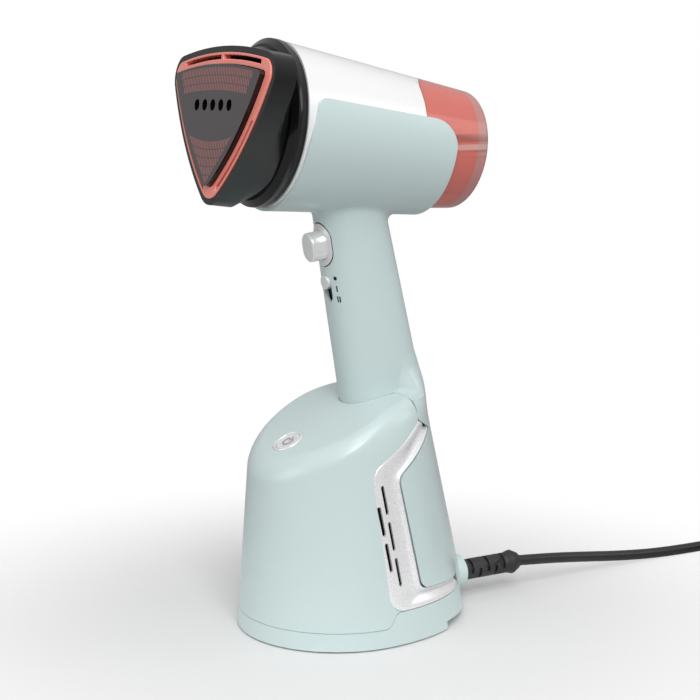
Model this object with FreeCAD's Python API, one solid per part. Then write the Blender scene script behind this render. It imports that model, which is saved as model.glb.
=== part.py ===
import FreeCAD, Part
import math
import os

os.makedirs("parts", exist_ok=True)
V = FreeCAD.Vector
X_AXIS = V(1, 0, 0)
Y_AXIS = V(0, 1, 0)
Z_AXIS = V(0, 0, 1)

# ---------------------------------------------------------------------------
# Driving dimensions, in millimetres. The origin is on the floor under the
# centre of the round base. The steam face looks along -Y, and +Z is up.
# ---------------------------------------------------------------------------

# Walls, seams and clearances
SHELL_WALL = 2.4          # moulded outer shells
SEAM = 0.3                # gap between two neighbouring shells
RUN_GAP = 0.35            # gap round a piece that slides in a shell
SEAT_GAP = 0.2            # gap where a fixed piece sits on another

# Base body
FOOT_H = 1.0              # rubber pad below the bottom shell
BASE_HALF_W = 62.0        # half width at the floor
BASE_FRONT = 63.5         # from the origin to the front, at the floor
BASE_REAR = 83.8          # from the origin to the back, at the floor
WALL_DRAFT = 0.07         # how far the side and front walls lean in, per mm
REAR_DRAFT = 0.2365       # how far the back wall leans in, per mm
SHOULDER_Z = 118.0        # height where the body starts to close in on the handle
SLOPE_ANGLE = 31.8        # the sloped top, from the horizontal
SLOPE_Y = -35.3           # centre of the power button on the slope
SLOPE_Z = 117.2
SLOPE_EDGE_R = 4.0        # rounding of the sloped top's edge
SEAM_Z = 11.6             # top of the bottom shell, at the front
REAR_SEAM_Z = 20.4        # top of the bottom shell, at the back

# Handle
HANDLE_HALF_W = 20.0
HANDLE_HALF_D = 24.1      # at HANDLE_REF_Z
HANDLE_GROWTH = 0.0437    # growth of the half depth per mm going down
HANDLE_REF_Z = 200.7
HANDLE_REF_Y = 17.3       # centre of the handle at HANDLE_REF_Z
HANDLE_LEAN = 0.2015      # backward shift of the centre per mm going down
HANDLE_POWER = 2.35       # roundness of the oval: 2 is an ellipse
ROOT_FILLET = 5.0         # where the handle meets the barrel

# Head: its own frame has its origin at the centre of the collar's back face,
# +Y back along the barrel and +Z up. The whole head tips its nose up.
HEAD_Y = -44.9
HEAD_Z = 305.1
HEAD_TILT = 7.4
BARREL_R = 48.0           # pearl cover, at the collar
BARREL_TAPER = 0.093      # loss of radius per mm going back
BELLY_R = 50.0            # mint lower barrel, at the collar
BELLY_TAPER = 0.072
BELLY_END = 102.0         # back edge of the mint barrel
BELLY_TOP_ANGLE = 19.6    # how high its edge runs above the barrel's axis
COVER_WALL = 2.0
COVER_END = 81.4          # back edge of the pearl cover at its sides
COVER_TONGUE = 9.6        # how far its middle reaches over the tank
TANK_END = 129.0          # back face of the tank

# Steam face, measured on its own plane
FACE_S = -35.0            # plane of the suction frame
FACE_CORNER_X = 53.5      # centre of an upper corner
FACE_CORNER_Z = 23.3
FACE_CORNER_R = 9.0
FACE_TIP_Z = -31.2        # centre of the lower corner
FACE_TIP_R = 15.0
FACE_TOP_R = 343.0        # bow of the top edge
FACE_SIDE_R = 190.0       # bow of the two lower edges
FRAME_W = 6.6             # width of the suction frame
PLATE_PROUD = 3.0         # the soleplate stands out of the frame
RIM_W = 3.6               # black rim round the frame
STEAM_HOLE_R = 3.3
STEAM_HOLE_PITCH = 10.75
STEAM_HOLE_Z = 6.5
SLOT_IN = 1.5             # suction slots, in from the frame's edge
SLOT_W = 2.4

# Trigger and mode slider, on the front of the handle
TRIGGER_Z = 234.0
TRIGGER_HALF_W = 7.0
TRIGGER_HALF_H = 8.8
TRIGGER_OUT = 9.5         # how far it stands out of its bezel
TRIGGER_TRAVEL = 4.0
BEZEL_HALF_W = 9.6
BEZEL_HALF_H = 12.9
SLIDER_Z = 207.5          # middle of the slot
SLIDER_SLOT_H = 17.0
SLIDER_SLOT_W = 9.0
SLIDER_TRAVEL = 8.0       # from position 0 past I to II

# Power button
BUTTON_R = 8.0
BUTTON_RING_R = 10.0
BUTTON_TRAVEL = 1.5

# Fan, in the base
FAN_Y = 2.0
MOTOR_R = 26.0
MOTOR_Z = 22.0
MOTOR_H = 42.0
SHAFT_R = 2.5
BEARING_R = 8.0
SHAFT_FIT = 0.03          # radial running clearance of the shaft
IMPELLER_R = 40.0
IMPELLER_H = 13.0
IMPELLER_Z = 72.0
BLADES = 9
FAN_WALL = 2.0

# Tank travel when it is pulled off, and its filler plug
TANK_TRAVEL = 95.0
FILLER_R = 9.0
NOSE_R = 31.0             # the tank's nose, inside the barrel
NOSE_START = 62.0

# Mains cord
CORD_D = 7.0
RELIEF_START = 91.0
RELIEF_LEN = 43.0
RELIEF_R = 6.7
RELIEF_FLARE_R = 7.85
GLAND_Z = 17.3
COIL_X = 49.0             # centre of the stored coil
COIL_Y = 340.0
COIL_TURNS_WIDE = 4
COIL_LAYERS = 2
COIL_IN_R = 28.0          # centre line of the innermost turn
PLUG_R = 19.0
PLUG_LEN = 42.0
PIN_R = 2.4
PIN_LEN = 19.0
PIN_PITCH = 19.0
PLUG_TILT = 14.0          # the plug leans on its rim

# The route of the cord where it isn't coiled, by hand: out of the strain
# relief, down to the floor, and on to the coil's outer turn.
LEAD_ROUTE = [
    (0.0, 134.0, 17.2),
    (0.4, 158.0, 15.4),
    (-1.0, 189.0, 11.4),
    (-2.6, 222.0, 6.6),
    (-1.8, 256.0, 3.7),
    (0.4, 293.0, 3.5),
    (0.0, 316.0, 3.5),
    (0.0, 340.0, 3.5),
]
# From the coil's upper outer turn down to the plug.
TAIL_ROUTE = [
    (49.0, 389.0, 10.5),
    (64.0, 389.4, 8.0),
    (79.0, 388.6, 6.4),
    (94.0, 389.0, 10.3),
]


# ---------------------------------------------------------------------------
# Helpers
# ---------------------------------------------------------------------------
def save(name, shape):
    """Write one node; a list of solids becomes one compound node."""
    if isinstance(shape, list):
        shape = Part.makeCompound(shape)
    solids = shape.Solids
    if len(solids) == 0:
        raise ValueError("node " + name + " has no solid")
    if len(solids) == 1:
        shape = solids[0]
    else:
        shape = Part.makeCompound(solids)
    shape.exportStep("parts/" + name + ".step")
    volume = sum(s.Volume for s in solids)
    print(name, len(solids), round(volume, 1), shape.isValid())


def turned(shape, angle, axis, centre=V(0, 0, 0)):
    """A copy turned by angle degrees about an axis through centre."""
    copy = shape.copy()
    copy.rotate(centre, axis, angle)
    return copy


def moved(shape, x, y, z):
    """A copy shifted by x, y, z."""
    copy = shape.copy()
    copy.translate(V(x, y, z))
    return copy


def mirrored(shape):
    """The copy on the other side of the plane of symmetry."""
    return shape.mirror(V(0, 0, 0), X_AXIS)


def head(shape):
    """Place a shape from the head's frame in the object's frame."""
    return moved(turned(shape, -HEAD_TILT, X_AXIS), 0, HEAD_Y, HEAD_Z)


HANDLE_FRONT_LEAN = math.degrees(math.atan(HANDLE_LEAN - HANDLE_GROWTH))


def handle_centre(z):
    """Y of the handle's centre line at height z."""
    return HANDLE_REF_Y + (HANDLE_REF_Z - z) * HANDLE_LEAN


def handle_depth(z):
    """Half depth of the handle at height z."""
    return HANDLE_HALF_D + (HANDLE_REF_Z - z) * HANDLE_GROWTH


def handle_front(z):
    """Y of the handle's front line at height z."""
    return handle_centre(z) - handle_depth(z)


def on_handle(shape, z):
    """Place a shape on the handle's front line at height z.

    In the shape's own frame -Y points out of the handle's front.
    """
    leaned = turned(shape, HANDLE_FRONT_LEAN, X_AXIS)
    return moved(leaned, 0, handle_front(z), z)


def on_slope(shape):
    """Place a shape on the sloped top, +Z out of it, at the power button."""
    return moved(turned(shape, SLOPE_ANGLE, X_AXIS), 0, SLOPE_Y, SLOPE_Z)


def tube_ring(outer, inner, start, length, axis=Z_AXIS, at=V(0, 0, 0)):
    """A straight ring between two radii, from start along axis."""
    base = at + axis * start
    ring = Part.makeCylinder(outer, length, base, axis)
    return ring.cut(Part.makeCylinder(inner, length, base, axis))


def cone_y(r_start, r_end, y_start, y_end):
    """A solid cone along +Y between two stations."""
    if abs(r_start - r_end) < 1e-9:
        return Part.makeCylinder(r_start, y_end - y_start, V(0, y_start, 0), Y_AXIS)
    return Part.makeCone(r_start, r_end, y_end - y_start, V(0, y_start, 0), Y_AXIS)


def prism_x(points, half_width=120.0):
    """A side-view outline in Y and Z, carried through in X."""
    corners = [V(-half_width, y, z) for y, z in points]
    face = Part.Face(Part.makePolygon(corners + corners[:1]))
    return face.extrude(V(2 * half_width, 0, 0))


def rounded_prism(points, radii, grow=0.0, half_width=120.0):
    """A side-view outline with rounded corners, grown outwards, carried through in X."""
    vectors = [V(-half_width, y, z) for y, z in points]
    edges = []
    starts = []
    ends = []
    count = len(vectors)
    arcs = []
    for i in range(count):
        here = vectors[i]
        before = (vectors[i - 1] - here).normalize()
        after = (vectors[(i + 1) % count] - here).normalize()
        radius = radii[i]
        if radius == 0:
            starts.append(here)
            ends.append(here)
            arcs.append(None)
            continue
        half = before.getAngle(after) / 2
        reach = radius / math.tan(half)
        middle = here + (before + after).normalize() * (radius / math.sin(half) - radius)
        starts.append(here + before * reach)
        ends.append(here + after * reach)
        arcs.append(Part.Arc(starts[-1], middle, ends[-1]).toShape())
    for i in range(count):
        if arcs[i] is not None:
            edges.append(arcs[i])
        following = (i + 1) % count
        edges.append(Part.LineSegment(ends[i], starts[following]).toShape())
    wire = Part.Wire(edges)
    if grow != 0:
        wire = wire.makeOffset2D(grow, 2)
    return Part.Face(wire).extrude(V(2 * half_width, 0, 0))


def half_oval(z, centre_y, half_w, depth):
    """Half an ellipse from +X to -X through Y = centre_y + depth."""
    arc = Part.Arc(V(1, 0, 0), V(0, math.copysign(1, depth), 0), V(-1, 0, 0)).toShape()
    scale = FreeCAD.Matrix()
    scale.scale(half_w, abs(depth), 1)
    arc = arc.transformGeometry(scale)
    arc.translate(V(0, centre_y, z))
    return arc


def egg(z, centre_y, half_w, front, rear):
    """A closed oval with its own front and rear depth."""
    back = half_oval(z, centre_y, half_w, rear)
    face = half_oval(z, centre_y, half_w, -front)
    return Part.Wire([back, face])


def oval(z, centre_y, half_w, half_d, power, count=24):
    """A super-ellipse at height z as one closed spline."""
    points = []
    for i in range(count):
        angle = 2 * math.pi * i / count
        c = math.cos(angle)
        s = math.sin(angle)
        x = half_w * math.copysign(abs(c) ** (2 / power), c)
        y = half_d * math.copysign(abs(s) ** (2 / power), s)
        points.append(V(x, centre_y + y, z))
    curve = Part.BSplineCurve()
    curve.interpolate(points, PeriodicFlag=True)
    return Part.Wire([curve.toShape()])


def stadium(half_w, half_h, y):
    """An upright oval of two half circles and straight sides, facing Y."""
    reach = half_h - half_w
    top = Part.Arc(V(half_w, y, reach), V(0, y, half_h), V(-half_w, y, reach)).toShape()
    low = Part.Arc(V(-half_w, y, -reach), V(0, y, -half_h), V(half_w, y, -reach)).toShape()
    left = Part.LineSegment(V(-half_w, y, reach), V(-half_w, y, -reach)).toShape()
    right = Part.LineSegment(V(half_w, y, -reach), V(half_w, y, reach)).toShape()
    return Part.Face(Part.Wire([top, left, low, right]))


def stadium_block(half_w, half_h, y_start, y_end):
    """The upright oval carried from y_start to y_end."""
    return stadium(half_w, half_h, y_start).extrude(V(0, y_end - y_start, 0))


def rounded_path(points, share=0.45):
    """Straight runs joined by tangent arcs, and the arcs' radii."""
    vectors = [V(*p) for p in points]
    edges = []
    radii = []
    start = vectors[0]
    for i in range(1, len(vectors) - 1):
        here = vectors[i]
        before = here - vectors[i - 1]
        after = vectors[i + 1] - here
        turn = before.getAngle(after)
        reach = share * min(before.Length, after.Length)
        radius = reach / math.tan(turn / 2)
        into = before.normalize()
        away = after.normalize()
        arc_start = here - into * reach
        arc_end = here + away * reach
        bisector = (away - into).normalize()
        middle = here + bisector * (radius / math.cos(turn / 2) - radius)
        edges.append(Part.LineSegment(start, arc_start).toShape())
        edges.append(Part.Arc(arc_start, middle, arc_end).toShape())
        start = arc_end
        radii.append(radius)
    edges.append(Part.LineSegment(start, vectors[-1]).toShape())
    return Part.Wire(edges), radii


def hose(points, diameter):
    """A round hose along straight runs joined by arcs, and its path."""
    path, radii = rounded_path(points)
    start = V(*points[0])
    direction = (V(*points[1]) - start).normalize()
    ring = Part.Wire([Part.Circle(start, direction, diameter / 2).toShape()])
    solid = path.makePipeShell([ring], True, True)
    return solid, path, radii


# ---------------------------------------------------------------------------
# Outline of the steam face
# ---------------------------------------------------------------------------
def between(c1, r1, c2, r2, radius, inner_side):
    """Centre of the circle that holds two corner circles, tangent inside."""
    d1 = radius - r1
    d2 = radius - r2
    gap = c2 - c1
    length = gap.Length
    along = (d1 * d1 - d2 * d2 + length * length) / (2 * length)
    across = math.sqrt(d1 * d1 - along * along)
    unit = V(gap).normalize()
    normal = unit.cross(Y_AXIS)
    if normal.dot(inner_side - c1) < 0:
        normal = normal * -1
    return c1 + unit * along + normal * across


def delta_arcs(y, grow):
    """Six (centre, radius, start, end) arcs of the face's outline, grown outwards."""
    right = V(FACE_CORNER_X, y, FACE_CORNER_Z)
    left = V(-FACE_CORNER_X, y, FACE_CORNER_Z)
    tip = V(0, y, FACE_TIP_Z)
    middle = V(0, y, 0)
    corners = [(right, FACE_CORNER_R), (left, FACE_CORNER_R), (tip, FACE_TIP_R)]
    bows = [FACE_TOP_R, FACE_SIDE_R, FACE_SIDE_R]
    centres = []
    for i in range(3):
        c1, r1 = corners[i]
        c2, r2 = corners[(i + 1) % 3]
        centres.append(between(c1, r1, c2, r2, bows[i], middle))
    arcs = []
    for i in range(3):
        corner, corner_r = corners[i]
        before = centres[i - 1]
        after = centres[i]
        start = before + (corner - before).normalize() * (bows[i - 1] + grow)
        end = after + (corner - after).normalize() * (bows[i] + grow)
        arcs.append((corner, corner_r + grow, start, end))
        following, _ = corners[(i + 1) % 3]
        stop = after + (following - after).normalize() * (bows[i] + grow)
        arcs.append((after, bows[i] + grow, end, stop))
    return arcs


def delta_wire(y, grow=0.0):
    """The face's rounded triangle at station y, grown outwards."""
    edges = []
    for centre, radius, start, end in delta_arcs(y, grow):
        half = ((start - centre).normalize() + (end - centre).normalize()).normalize()
        edges.append(Part.Arc(start, centre + half * radius, end).toShape())
    return Part.Wire(edges)


def delta_block(y_start, y_end, grow=0.0):
    """The face's outline carried from y_start to y_end."""
    return Part.Face(delta_wire(y_start, grow)).extrude(V(0, y_end - y_start, 0))


def ring_like_delta(y, radius):
    """A circle cut into six arcs that line up with the face's outline."""
    corners = []
    for _, _, start, _ in delta_arcs(y, 0):
        corners.append(V(start.x, 0, start.z).normalize() * radius)
    edges = []
    for i in range(6):
        first = corners[i]
        second = corners[(i + 1) % 6]
        middle = (first + second).normalize() * radius
        points = [V(p.x, y, p.z) for p in (first, middle, second)]
        edges.append(Part.Arc(*points).toShape())
    return Part.Wire(edges)


# ---------------------------------------------------------------------------
# Head
# ---------------------------------------------------------------------------
PLATE_GROW = -FRAME_W - 0.4
FRAME_DEPTH = 5.0
HOUSING_FRONT = FACE_S + 0.8
HOUSING_RIM_END = -21.0
COLLAR_FRONT = -11.0
COLLAR_BACK = -1.2
COLLAR_IN_R = 40.0
HOUSING_WALL = 2.2


def make_soleplate():
    """The dark plate with a row of steam holes."""
    plate = delta_block(FACE_S - PLATE_PROUD, FACE_S + FRAME_DEPTH, PLATE_GROW)
    for i in range(-2, 3):
        x = i * STEAM_HOLE_PITCH
        at = V(x, FACE_S - PLATE_PROUD - 1, STEAM_HOLE_Z)
        plate = plate.cut(Part.makeCylinder(STEAM_HOLE_R, FRAME_DEPTH + PLATE_PROUD + 2, at, Y_AXIS))
    return plate


def slot_band():
    """The closed band in which all suction slots lie."""
    band = delta_block(FACE_S - 1, FACE_S + FRAME_DEPTH + 1, -SLOT_IN)
    return band.cut(delta_block(FACE_S - 2, FACE_S + FRAME_DEPTH + 2, -SLOT_IN - SLOT_W))


def make_suction_frame():
    """The coral frame with two slots along the top and one along each side."""
    frame = delta_block(FACE_S, FACE_S + FRAME_DEPTH, 0)
    frame = frame.cut(delta_block(FACE_S - 1, FACE_S + FRAME_DEPTH + 1, PLATE_GROW + SEAT_GAP))
    band = slot_band()
    depth = FRAME_DEPTH + 2
    top_half = Part.makeBox(48.0, depth, 30.0, V(1.6, FACE_S - 1, 25.0))
    side = Part.makeBox(60.0, depth, 40.0, V(8.3, FACE_S - 1, -41.5))
    for window in (top_half, mirrored(top_half), side, mirrored(side)):
        frame = frame.cut(band.common(window))
    return frame


def make_head_housing():
    """The black housing from the face's rim back to the collar."""
    rim = delta_block(HOUSING_FRONT, HOUSING_RIM_END, RIM_W)
    neck = Part.makeLoft(
        [delta_wire(HOUSING_RIM_END, RIM_W), ring_like_delta(COLLAR_FRONT, BARREL_R - 4.5)], True, True)
    outer = rim.fuse(neck)
    seat = delta_block(HOUSING_FRONT - 1, FACE_S + FRAME_DEPTH, SEAT_GAP)
    cavity = delta_block(FACE_S + FRAME_DEPTH, HOUSING_RIM_END, RIM_W - HOUSING_WALL - 4.0)
    tail = Part.makeLoft(
        [delta_wire(HOUSING_RIM_END, RIM_W - HOUSING_WALL - 4.0),
         ring_like_delta(COLLAR_FRONT, BARREL_R - 4.5 - HOUSING_WALL - 2)], True, True)
    return outer.cut(seat).cut(cavity).cut(tail).removeSplitter()


def make_collar_ring():
    """The glossy ring between the housing and the barrel, with a groove."""
    r = BARREL_R
    profile = [
        V(COLLAR_IN_R, COLLAR_FRONT, 0), V(r - 3.0, COLLAR_FRONT, 0), V(r + 0.6, COLLAR_FRONT + 3.0, 0),
        V(r + 0.6, COLLAR_BACK - 3.2, 0), V(r - 1.2, COLLAR_BACK - 2.4, 0), V(r - 1.2, COLLAR_BACK, 0),
        V(COLLAR_IN_R, COLLAR_BACK, 0)]
    face = Part.Face(Part.makePolygon(profile + profile[:1]))
    return face.revolve(V(0, 0, 0), Y_AXIS, 360)


def tongue_prism(gap):
    """Everything behind the pearl cover's curved back edge, seen from above."""
    end = COVER_END + gap
    reach = COVER_TONGUE
    top = 80.0
    points = [
        V(-60, end, -top), V(-34, end, -top), V(-22, end + 0.18 * reach, -top),
        V(-11, end + 0.78 * reach, -top), V(0, end + reach, -top), V(11, end + 0.78 * reach, -top),
        V(22, end + 0.18 * reach, -top), V(34, end, -top), V(60, end, -top)]
    curve = Part.BSplineCurve()
    curve.interpolate(points)
    far = TANK_END + 60
    corners = [points[-1], V(60, far, -top), V(-60, far, -top), points[0]]
    edges = [curve.toShape()]
    for first, second in zip(corners, corners[1:]):
        edges.append(Part.LineSegment(first, second).toShape())
    return Part.Face(Part.Wire(edges)).extrude(V(0, 0, 2 * top))


def barrel_cone(radius, taper, start, end, inset=0.0):
    """A cone about the barrel's axis whose radius shrinks by taper per mm."""
    return cone_y(radius - taper * start - inset, radius - taper * end - inset, start, end)


def make_barrel_cover():
    """The pearl upper shell, closed to a full ring behind the collar."""
    front = COLLAR_BACK
    back = COVER_END + COVER_TONGUE + 4
    outer = barrel_cone(BARREL_R, BARREL_TAPER, front, back)
    inner = barrel_cone(BARREL_R, BARREL_TAPER, front - 1, back + 1, COVER_WALL)
    shell = outer.cut(inner).cut(tongue_prism(0))
    lower = Part.makeBox(200, 200, 100, V(-100, 6.0, -100))
    return shell.cut(lower)


TANK_GAP = 0.4             # gap round the tank in the mint barrel
BELLY_TOP_FRONT = BELLY_R * math.sin(math.radians(BELLY_TOP_ANGLE))
BELLY_TOP_REAR = (BELLY_R - BELLY_TAPER * BELLY_END) * math.sin(math.radians(BELLY_TOP_ANGLE))


def belly_outline(grow=0.0):
    """Side view of the mint barrel: front edge, rising corner, top edge, round back corner."""
    points = [
        (0.6, -90.0), (0.6, -10.0), (5.0, BELLY_TOP_FRONT),
        (BELLY_END, BELLY_TOP_REAR), (BELLY_END, -90.0)]
    return rounded_prism(points, [0, 30, 7, 17, 0], grow)


def make_belly_outer():
    """The outside of the mint lower barrel."""
    return barrel_cone(BELLY_R, BELLY_TAPER, 0, BELLY_END + 5).common(belly_outline())


def make_belly_inner():
    """What is cut from it: the cover's own cone in front, the tank's bore behind."""
    front = barrel_cone(BARREL_R, BARREL_TAPER, -5, COVER_END, -SEAT_GAP)
    bore_r = BARREL_R - BARREL_TAPER * COVER_END + TANK_GAP
    return front.fuse(cone_y(bore_r, bore_r, COVER_END, BELLY_END + 10))


# ---------------------------------------------------------------------------
# Handle and spine
# ---------------------------------------------------------------------------
def handle_solid(inset=0.0, top=262.0, bottom=60.0):
    """The leaning handle, running down inside the base's back wall."""
    wires = []
    for z in (bottom, 100.0, 140.0, 175.0, 205.0, 235.0, top):
        depth = handle_depth(z)
        centre = handle_centre(z)
        sunk = max(0.0, (140.0 - z) / 80.0) ** 2 * 4.6
        wires.append(oval(z, centre - sunk, HANDLE_HALF_W - inset, depth - inset, HANDLE_POWER))
    return Part.makeLoft(wires, True, False)


def base_sections(inset):
    """Ovals of the base body: straight walls, then shoulders closing in on the handle."""
    def straight(z):
        return egg(
            z, 0, BASE_HALF_W - WALL_DRAFT * z - inset,
            BASE_FRONT - WALL_DRAFT * z - inset, BASE_REAR - REAR_DRAFT * z - inset)
    floor = FOOT_H if inset == 0 else FOOT_H - 2.0
    low = [straight(floor), straight(SHOULDER_Z)]
    high = [straight(SHOULDER_Z)]
    for z, y, w, front, rear in (
            (130.0, 3.0, 51.2, 56.0, 51.0), (140.0, 11.0, 44.5, 50.0, 42.5),
            (150.0, 22.0, 29.5, 25.0, 31.0), (158.0 - inset, 26.0, 20.0, 22.0, 26.0)):
        high.append(egg(z, y, w - inset, front - inset, rear - inset))
    return low, high


def base_body(inset=0.0):
    """The base as one solid, before its top is cut to the slope."""
    low, high = base_sections(inset)
    return Part.makeLoft(low, True, True).fuse(Part.makeLoft(high, True, False))


def above_slope(inset=0.0):
    """The half space over the sloped top."""
    block = Part.makeBox(300, 300, 200, V(-150, -150, -inset))
    return on_slope(block)


# Side-view outlines of the base's panels, in Y and Z
PANEL_BACK = [
    (20.0, 190.0), (20.0, 151.5), (30.0, 130.6), (-8.6, 105.6), (1.6, REAR_SEAM_Z),
    (120.0, REAR_SEAM_Z), (120.0, 190.0)]
PANEL_BACK_R = [0, 6, 4, 12, 11, 0, 0]
BOTTOM = [
    (-120.0, -5.0), (-120.0, SEAM_Z), (0.0, SEAM_Z), (5.5, REAR_SEAM_Z),
    (120.0, REAR_SEAM_Z), (120.0, -5.0)]
BOTTOM_R = [0, 0, 6, 4, 0, 0]
TRIM = [
    (30.0, 130.6), (-8.6, 105.6), (1.6, REAR_SEAM_Z), (66.0, REAR_SEAM_Z), (66.0, 28.0),
    (25.2, 31.2), (10.2, 100.0), (44.5, 123.2)]
TRIM_R = [0, 12, 11, 0, 0, 7, 7, 0]


GLAND_R = 10.6
GLAND_START = 66.0


def gland_block(grow=0.0):
    """The round boss the cord's strain relief comes out of."""
    length = RELIEF_START - GLAND_START - 2.0
    boss = Part.makeCylinder(GLAND_R + grow, length, V(0, GLAND_START - grow, GLAND_Z), Y_AXIS)
    return boss.fuse(Part.makeCone(
        GLAND_R + grow, GLAND_R - 2.6 + grow, 2.0 + grow,
        V(0, GLAND_START + length - grow, GLAND_Z), Y_AXIS))


def make_spine_cover():
    """The mint back of the base between the two trims, with two screw posts."""
    cover = base_body().common(rounded_prism(PANEL_BACK, PANEL_BACK_R, -SEAM))
    cover = cover.cut(rounded_prism(TRIM, TRIM_R, SEAM))
    cover = cover.cut(base_body(SHELL_WALL)).cut(gland_block(SEAT_GAP))
    cover = biggest(cover.cut(handle_solid(-SEAT_GAP)))
    for x, y in BASE_POSTS_REAR:
        column = post(x, y, FLOOR_TOP + STEP_H + SEAT_GAP, 52.0)
        bore = Part.makeCylinder(1.6, 16, V(x, y, FLOOR_TOP + STEP_H))
        wall = base_body().cut(base_body(SHELL_WALL + SEAM))
        low = wall.common(rounded_prism(TRIM, TRIM_R, SEAM).fuse(rounded_prism(BOTTOM, BOTTOM_R, SEAM)))
        cover = cover.fuse(column.cut(low).cut(bore))
    return cover


def root_edges(shape):
    """The edges where the handle runs into the barrel."""
    found = []
    for edge in shape.Edges:
        box = edge.BoundBox
        inside_z = 240 < box.ZMin and box.ZMax < 285
        inside_y = HEAD_Y < box.YMin and box.YMax < 60
        if inside_z and inside_y and box.XMax < HANDLE_HALF_W + 8 and box.XMin > -HANDLE_HALF_W - 8:
            found.append(edge)
    return found


def handle_tube():
    """Barrel belly and handle as one hollow wall, open into the base."""
    outer = head(make_belly_outer()).fuse(handle_solid())
    outer = outer.makeFillet(ROOT_FILLET, root_edges(outer))
    hollow = head(make_belly_inner()).fuse(handle_solid(SHELL_WALL))
    over = above_slope(SHELL_WALL).cut(rounded_prism(PANEL_BACK, PANEL_BACK_R, 0.0))
    return outer.cut(hollow).cut(base_body(SHELL_WALL + SEAT_GAP).cut(over))


SCREW_SPOTS = [(188.0, 7.5), (162.0, 7.5)]      # height, depth behind the handle's front
BOSS_R = 4.0
SHELL_SCREW_R = 1.5
SHELL_SCREW_HALF = 11.0


def screw_axis(height, depth):
    """Y and Z of a shell screw."""
    return handle_front(height) + depth, height


def shell_bosses():
    """Bosses for the screws that hold the two mint shells together."""
    bosses = []
    for height, depth in SCREW_SPOTS:
        y, z = screw_axis(height, depth)
        bosses.append(Part.makeCylinder(BOSS_R, 2 * HANDLE_HALF_W, V(-HANDLE_HALF_W, y, z), X_AXIS))
    joined = bosses[0].fuse(bosses[1:])
    return joined.common(handle_solid(SHELL_WALL * 0.5))


def screw_holes(radius):
    """The holes those screws pass through."""
    holes = []
    for height, depth in SCREW_SPOTS:
        y, z = screw_axis(height, depth)
        length = 2 * SHELL_SCREW_HALF + 1
        holes.append(Part.makeCylinder(radius, length, V(-length / 2, y, z), X_AXIS))
    return holes


BASE_POSTS_FRONT = [(45.0, -22.0), (-45.0, -22.0)]
BASE_POSTS_REAR = [(26.0, 50.0), (-26.0, 50.0)]
POST_R = 4.6
FLOOR_TOP = FOOT_H + 3.0
STEP_Y = 47.0            # the underside steps up behind this line
STEP_H = 4.5


def post(x, y, bottom, top):
    """A screw post with a rib out to the wall."""
    away = V(x, y, 0).normalize()
    column = Part.makeCylinder(POST_R, top - bottom, V(x, y, bottom))
    rib = Part.makeBox(30, 2.0, top - bottom, V(0, -1.0, bottom))
    rib.rotate(V(0, 0, 0), Z_AXIS, math.degrees(math.atan2(away.y, away.x)))
    rib.translate(V(x, y, 0))
    return column.fuse(rib).common(base_body(SHELL_WALL * 0.5))


def make_body_shells():
    """The right and left mint shells."""
    shell = handle_tube()
    shell = shell.fuse(shell_bosses()).cut(screw_holes(SHELL_SCREW_R + 0.1)[0])
    shell = shell.cut(screw_holes(SHELL_SCREW_R + 0.1)[1])
    bezel_hole = on_handle(stadium_block(BEZEL_HALF_W + SEAM, BEZEL_HALF_H + SEAM, -8, 8), TRIGGER_Z)
    slot = on_handle(stadium_block(SLIDER_SLOT_W / 2, SLIDER_SLOT_H / 2, -8, 6), SLIDER_Z)
    shell = shell.cut(bezel_hole).cut(slot)
    right = shell.common(Part.makeBox(150, 400, 500, V(0.0, -200, -20)))
    left = shell.common(Part.makeBox(150, 400, 500, V(-150.0, -200, -20)))
    return right, left


def biggest(shape):
    """The largest solid of a shape: what is left over from a cut is dropped."""
    return max(shape.Solids, key=lambda solid: solid.Volume)


# ---------------------------------------------------------------------------
# Base shells
# ---------------------------------------------------------------------------
def slope_edges(shape):
    """The edges that bound the sloped top."""
    normal = V(0, -math.sin(math.radians(SLOPE_ANGLE)), math.cos(math.radians(SLOPE_ANGLE)))
    found = []
    for edge in shape.Edges:
        middle = edge.valueAt((edge.FirstParameter + edge.LastParameter) / 2)
        if abs((middle - V(0, SLOPE_Y, SLOPE_Z)).dot(normal)) < 0.01:
            found.append(edge)
    return found


def make_base_front_shell():
    """The mint front of the base, with the sloped top and the button's hole."""
    outer = base_body().cut(above_slope())
    outer = outer.makeFillet(SLOPE_EDGE_R, slope_edges(outer))
    inner = base_body(SHELL_WALL).cut(above_slope(SHELL_WALL))
    shell = outer.cut(inner)
    shell = shell.cut(rounded_prism(PANEL_BACK, PANEL_BACK_R, 0.0))
    shell = shell.cut(rounded_prism(BOTTOM, BOTTOM_R, SEAM))
    shell = shell.cut(handle_solid(-SEAM))
    shell = biggest(shell.cut(on_slope(Part.makeCylinder(BUTTON_RING_R + 0.1, 20, V(0, 0, -10)))))
    for side in (-1, 1):
        leg = Part.makeCylinder(2.2, 7.5, V(side * 13.5, 0, -9.0))
        shell = shell.fuse(on_slope(leg))
    for x, y in BASE_POSTS_FRONT:
        column = post(x, y, FLOOR_TOP + SEAT_GAP, 40.0)
        under = rounded_prism(BOTTOM, BOTTOM_R, SEAM).common(
            base_body(0).cut(base_body(SHELL_WALL + SEAM)))
        bore = Part.makeCylinder(1.6, 16, V(x, y, FLOOR_TOP))
        shell = shell.fuse(column.cut(under).cut(bore))
    return shell


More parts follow.
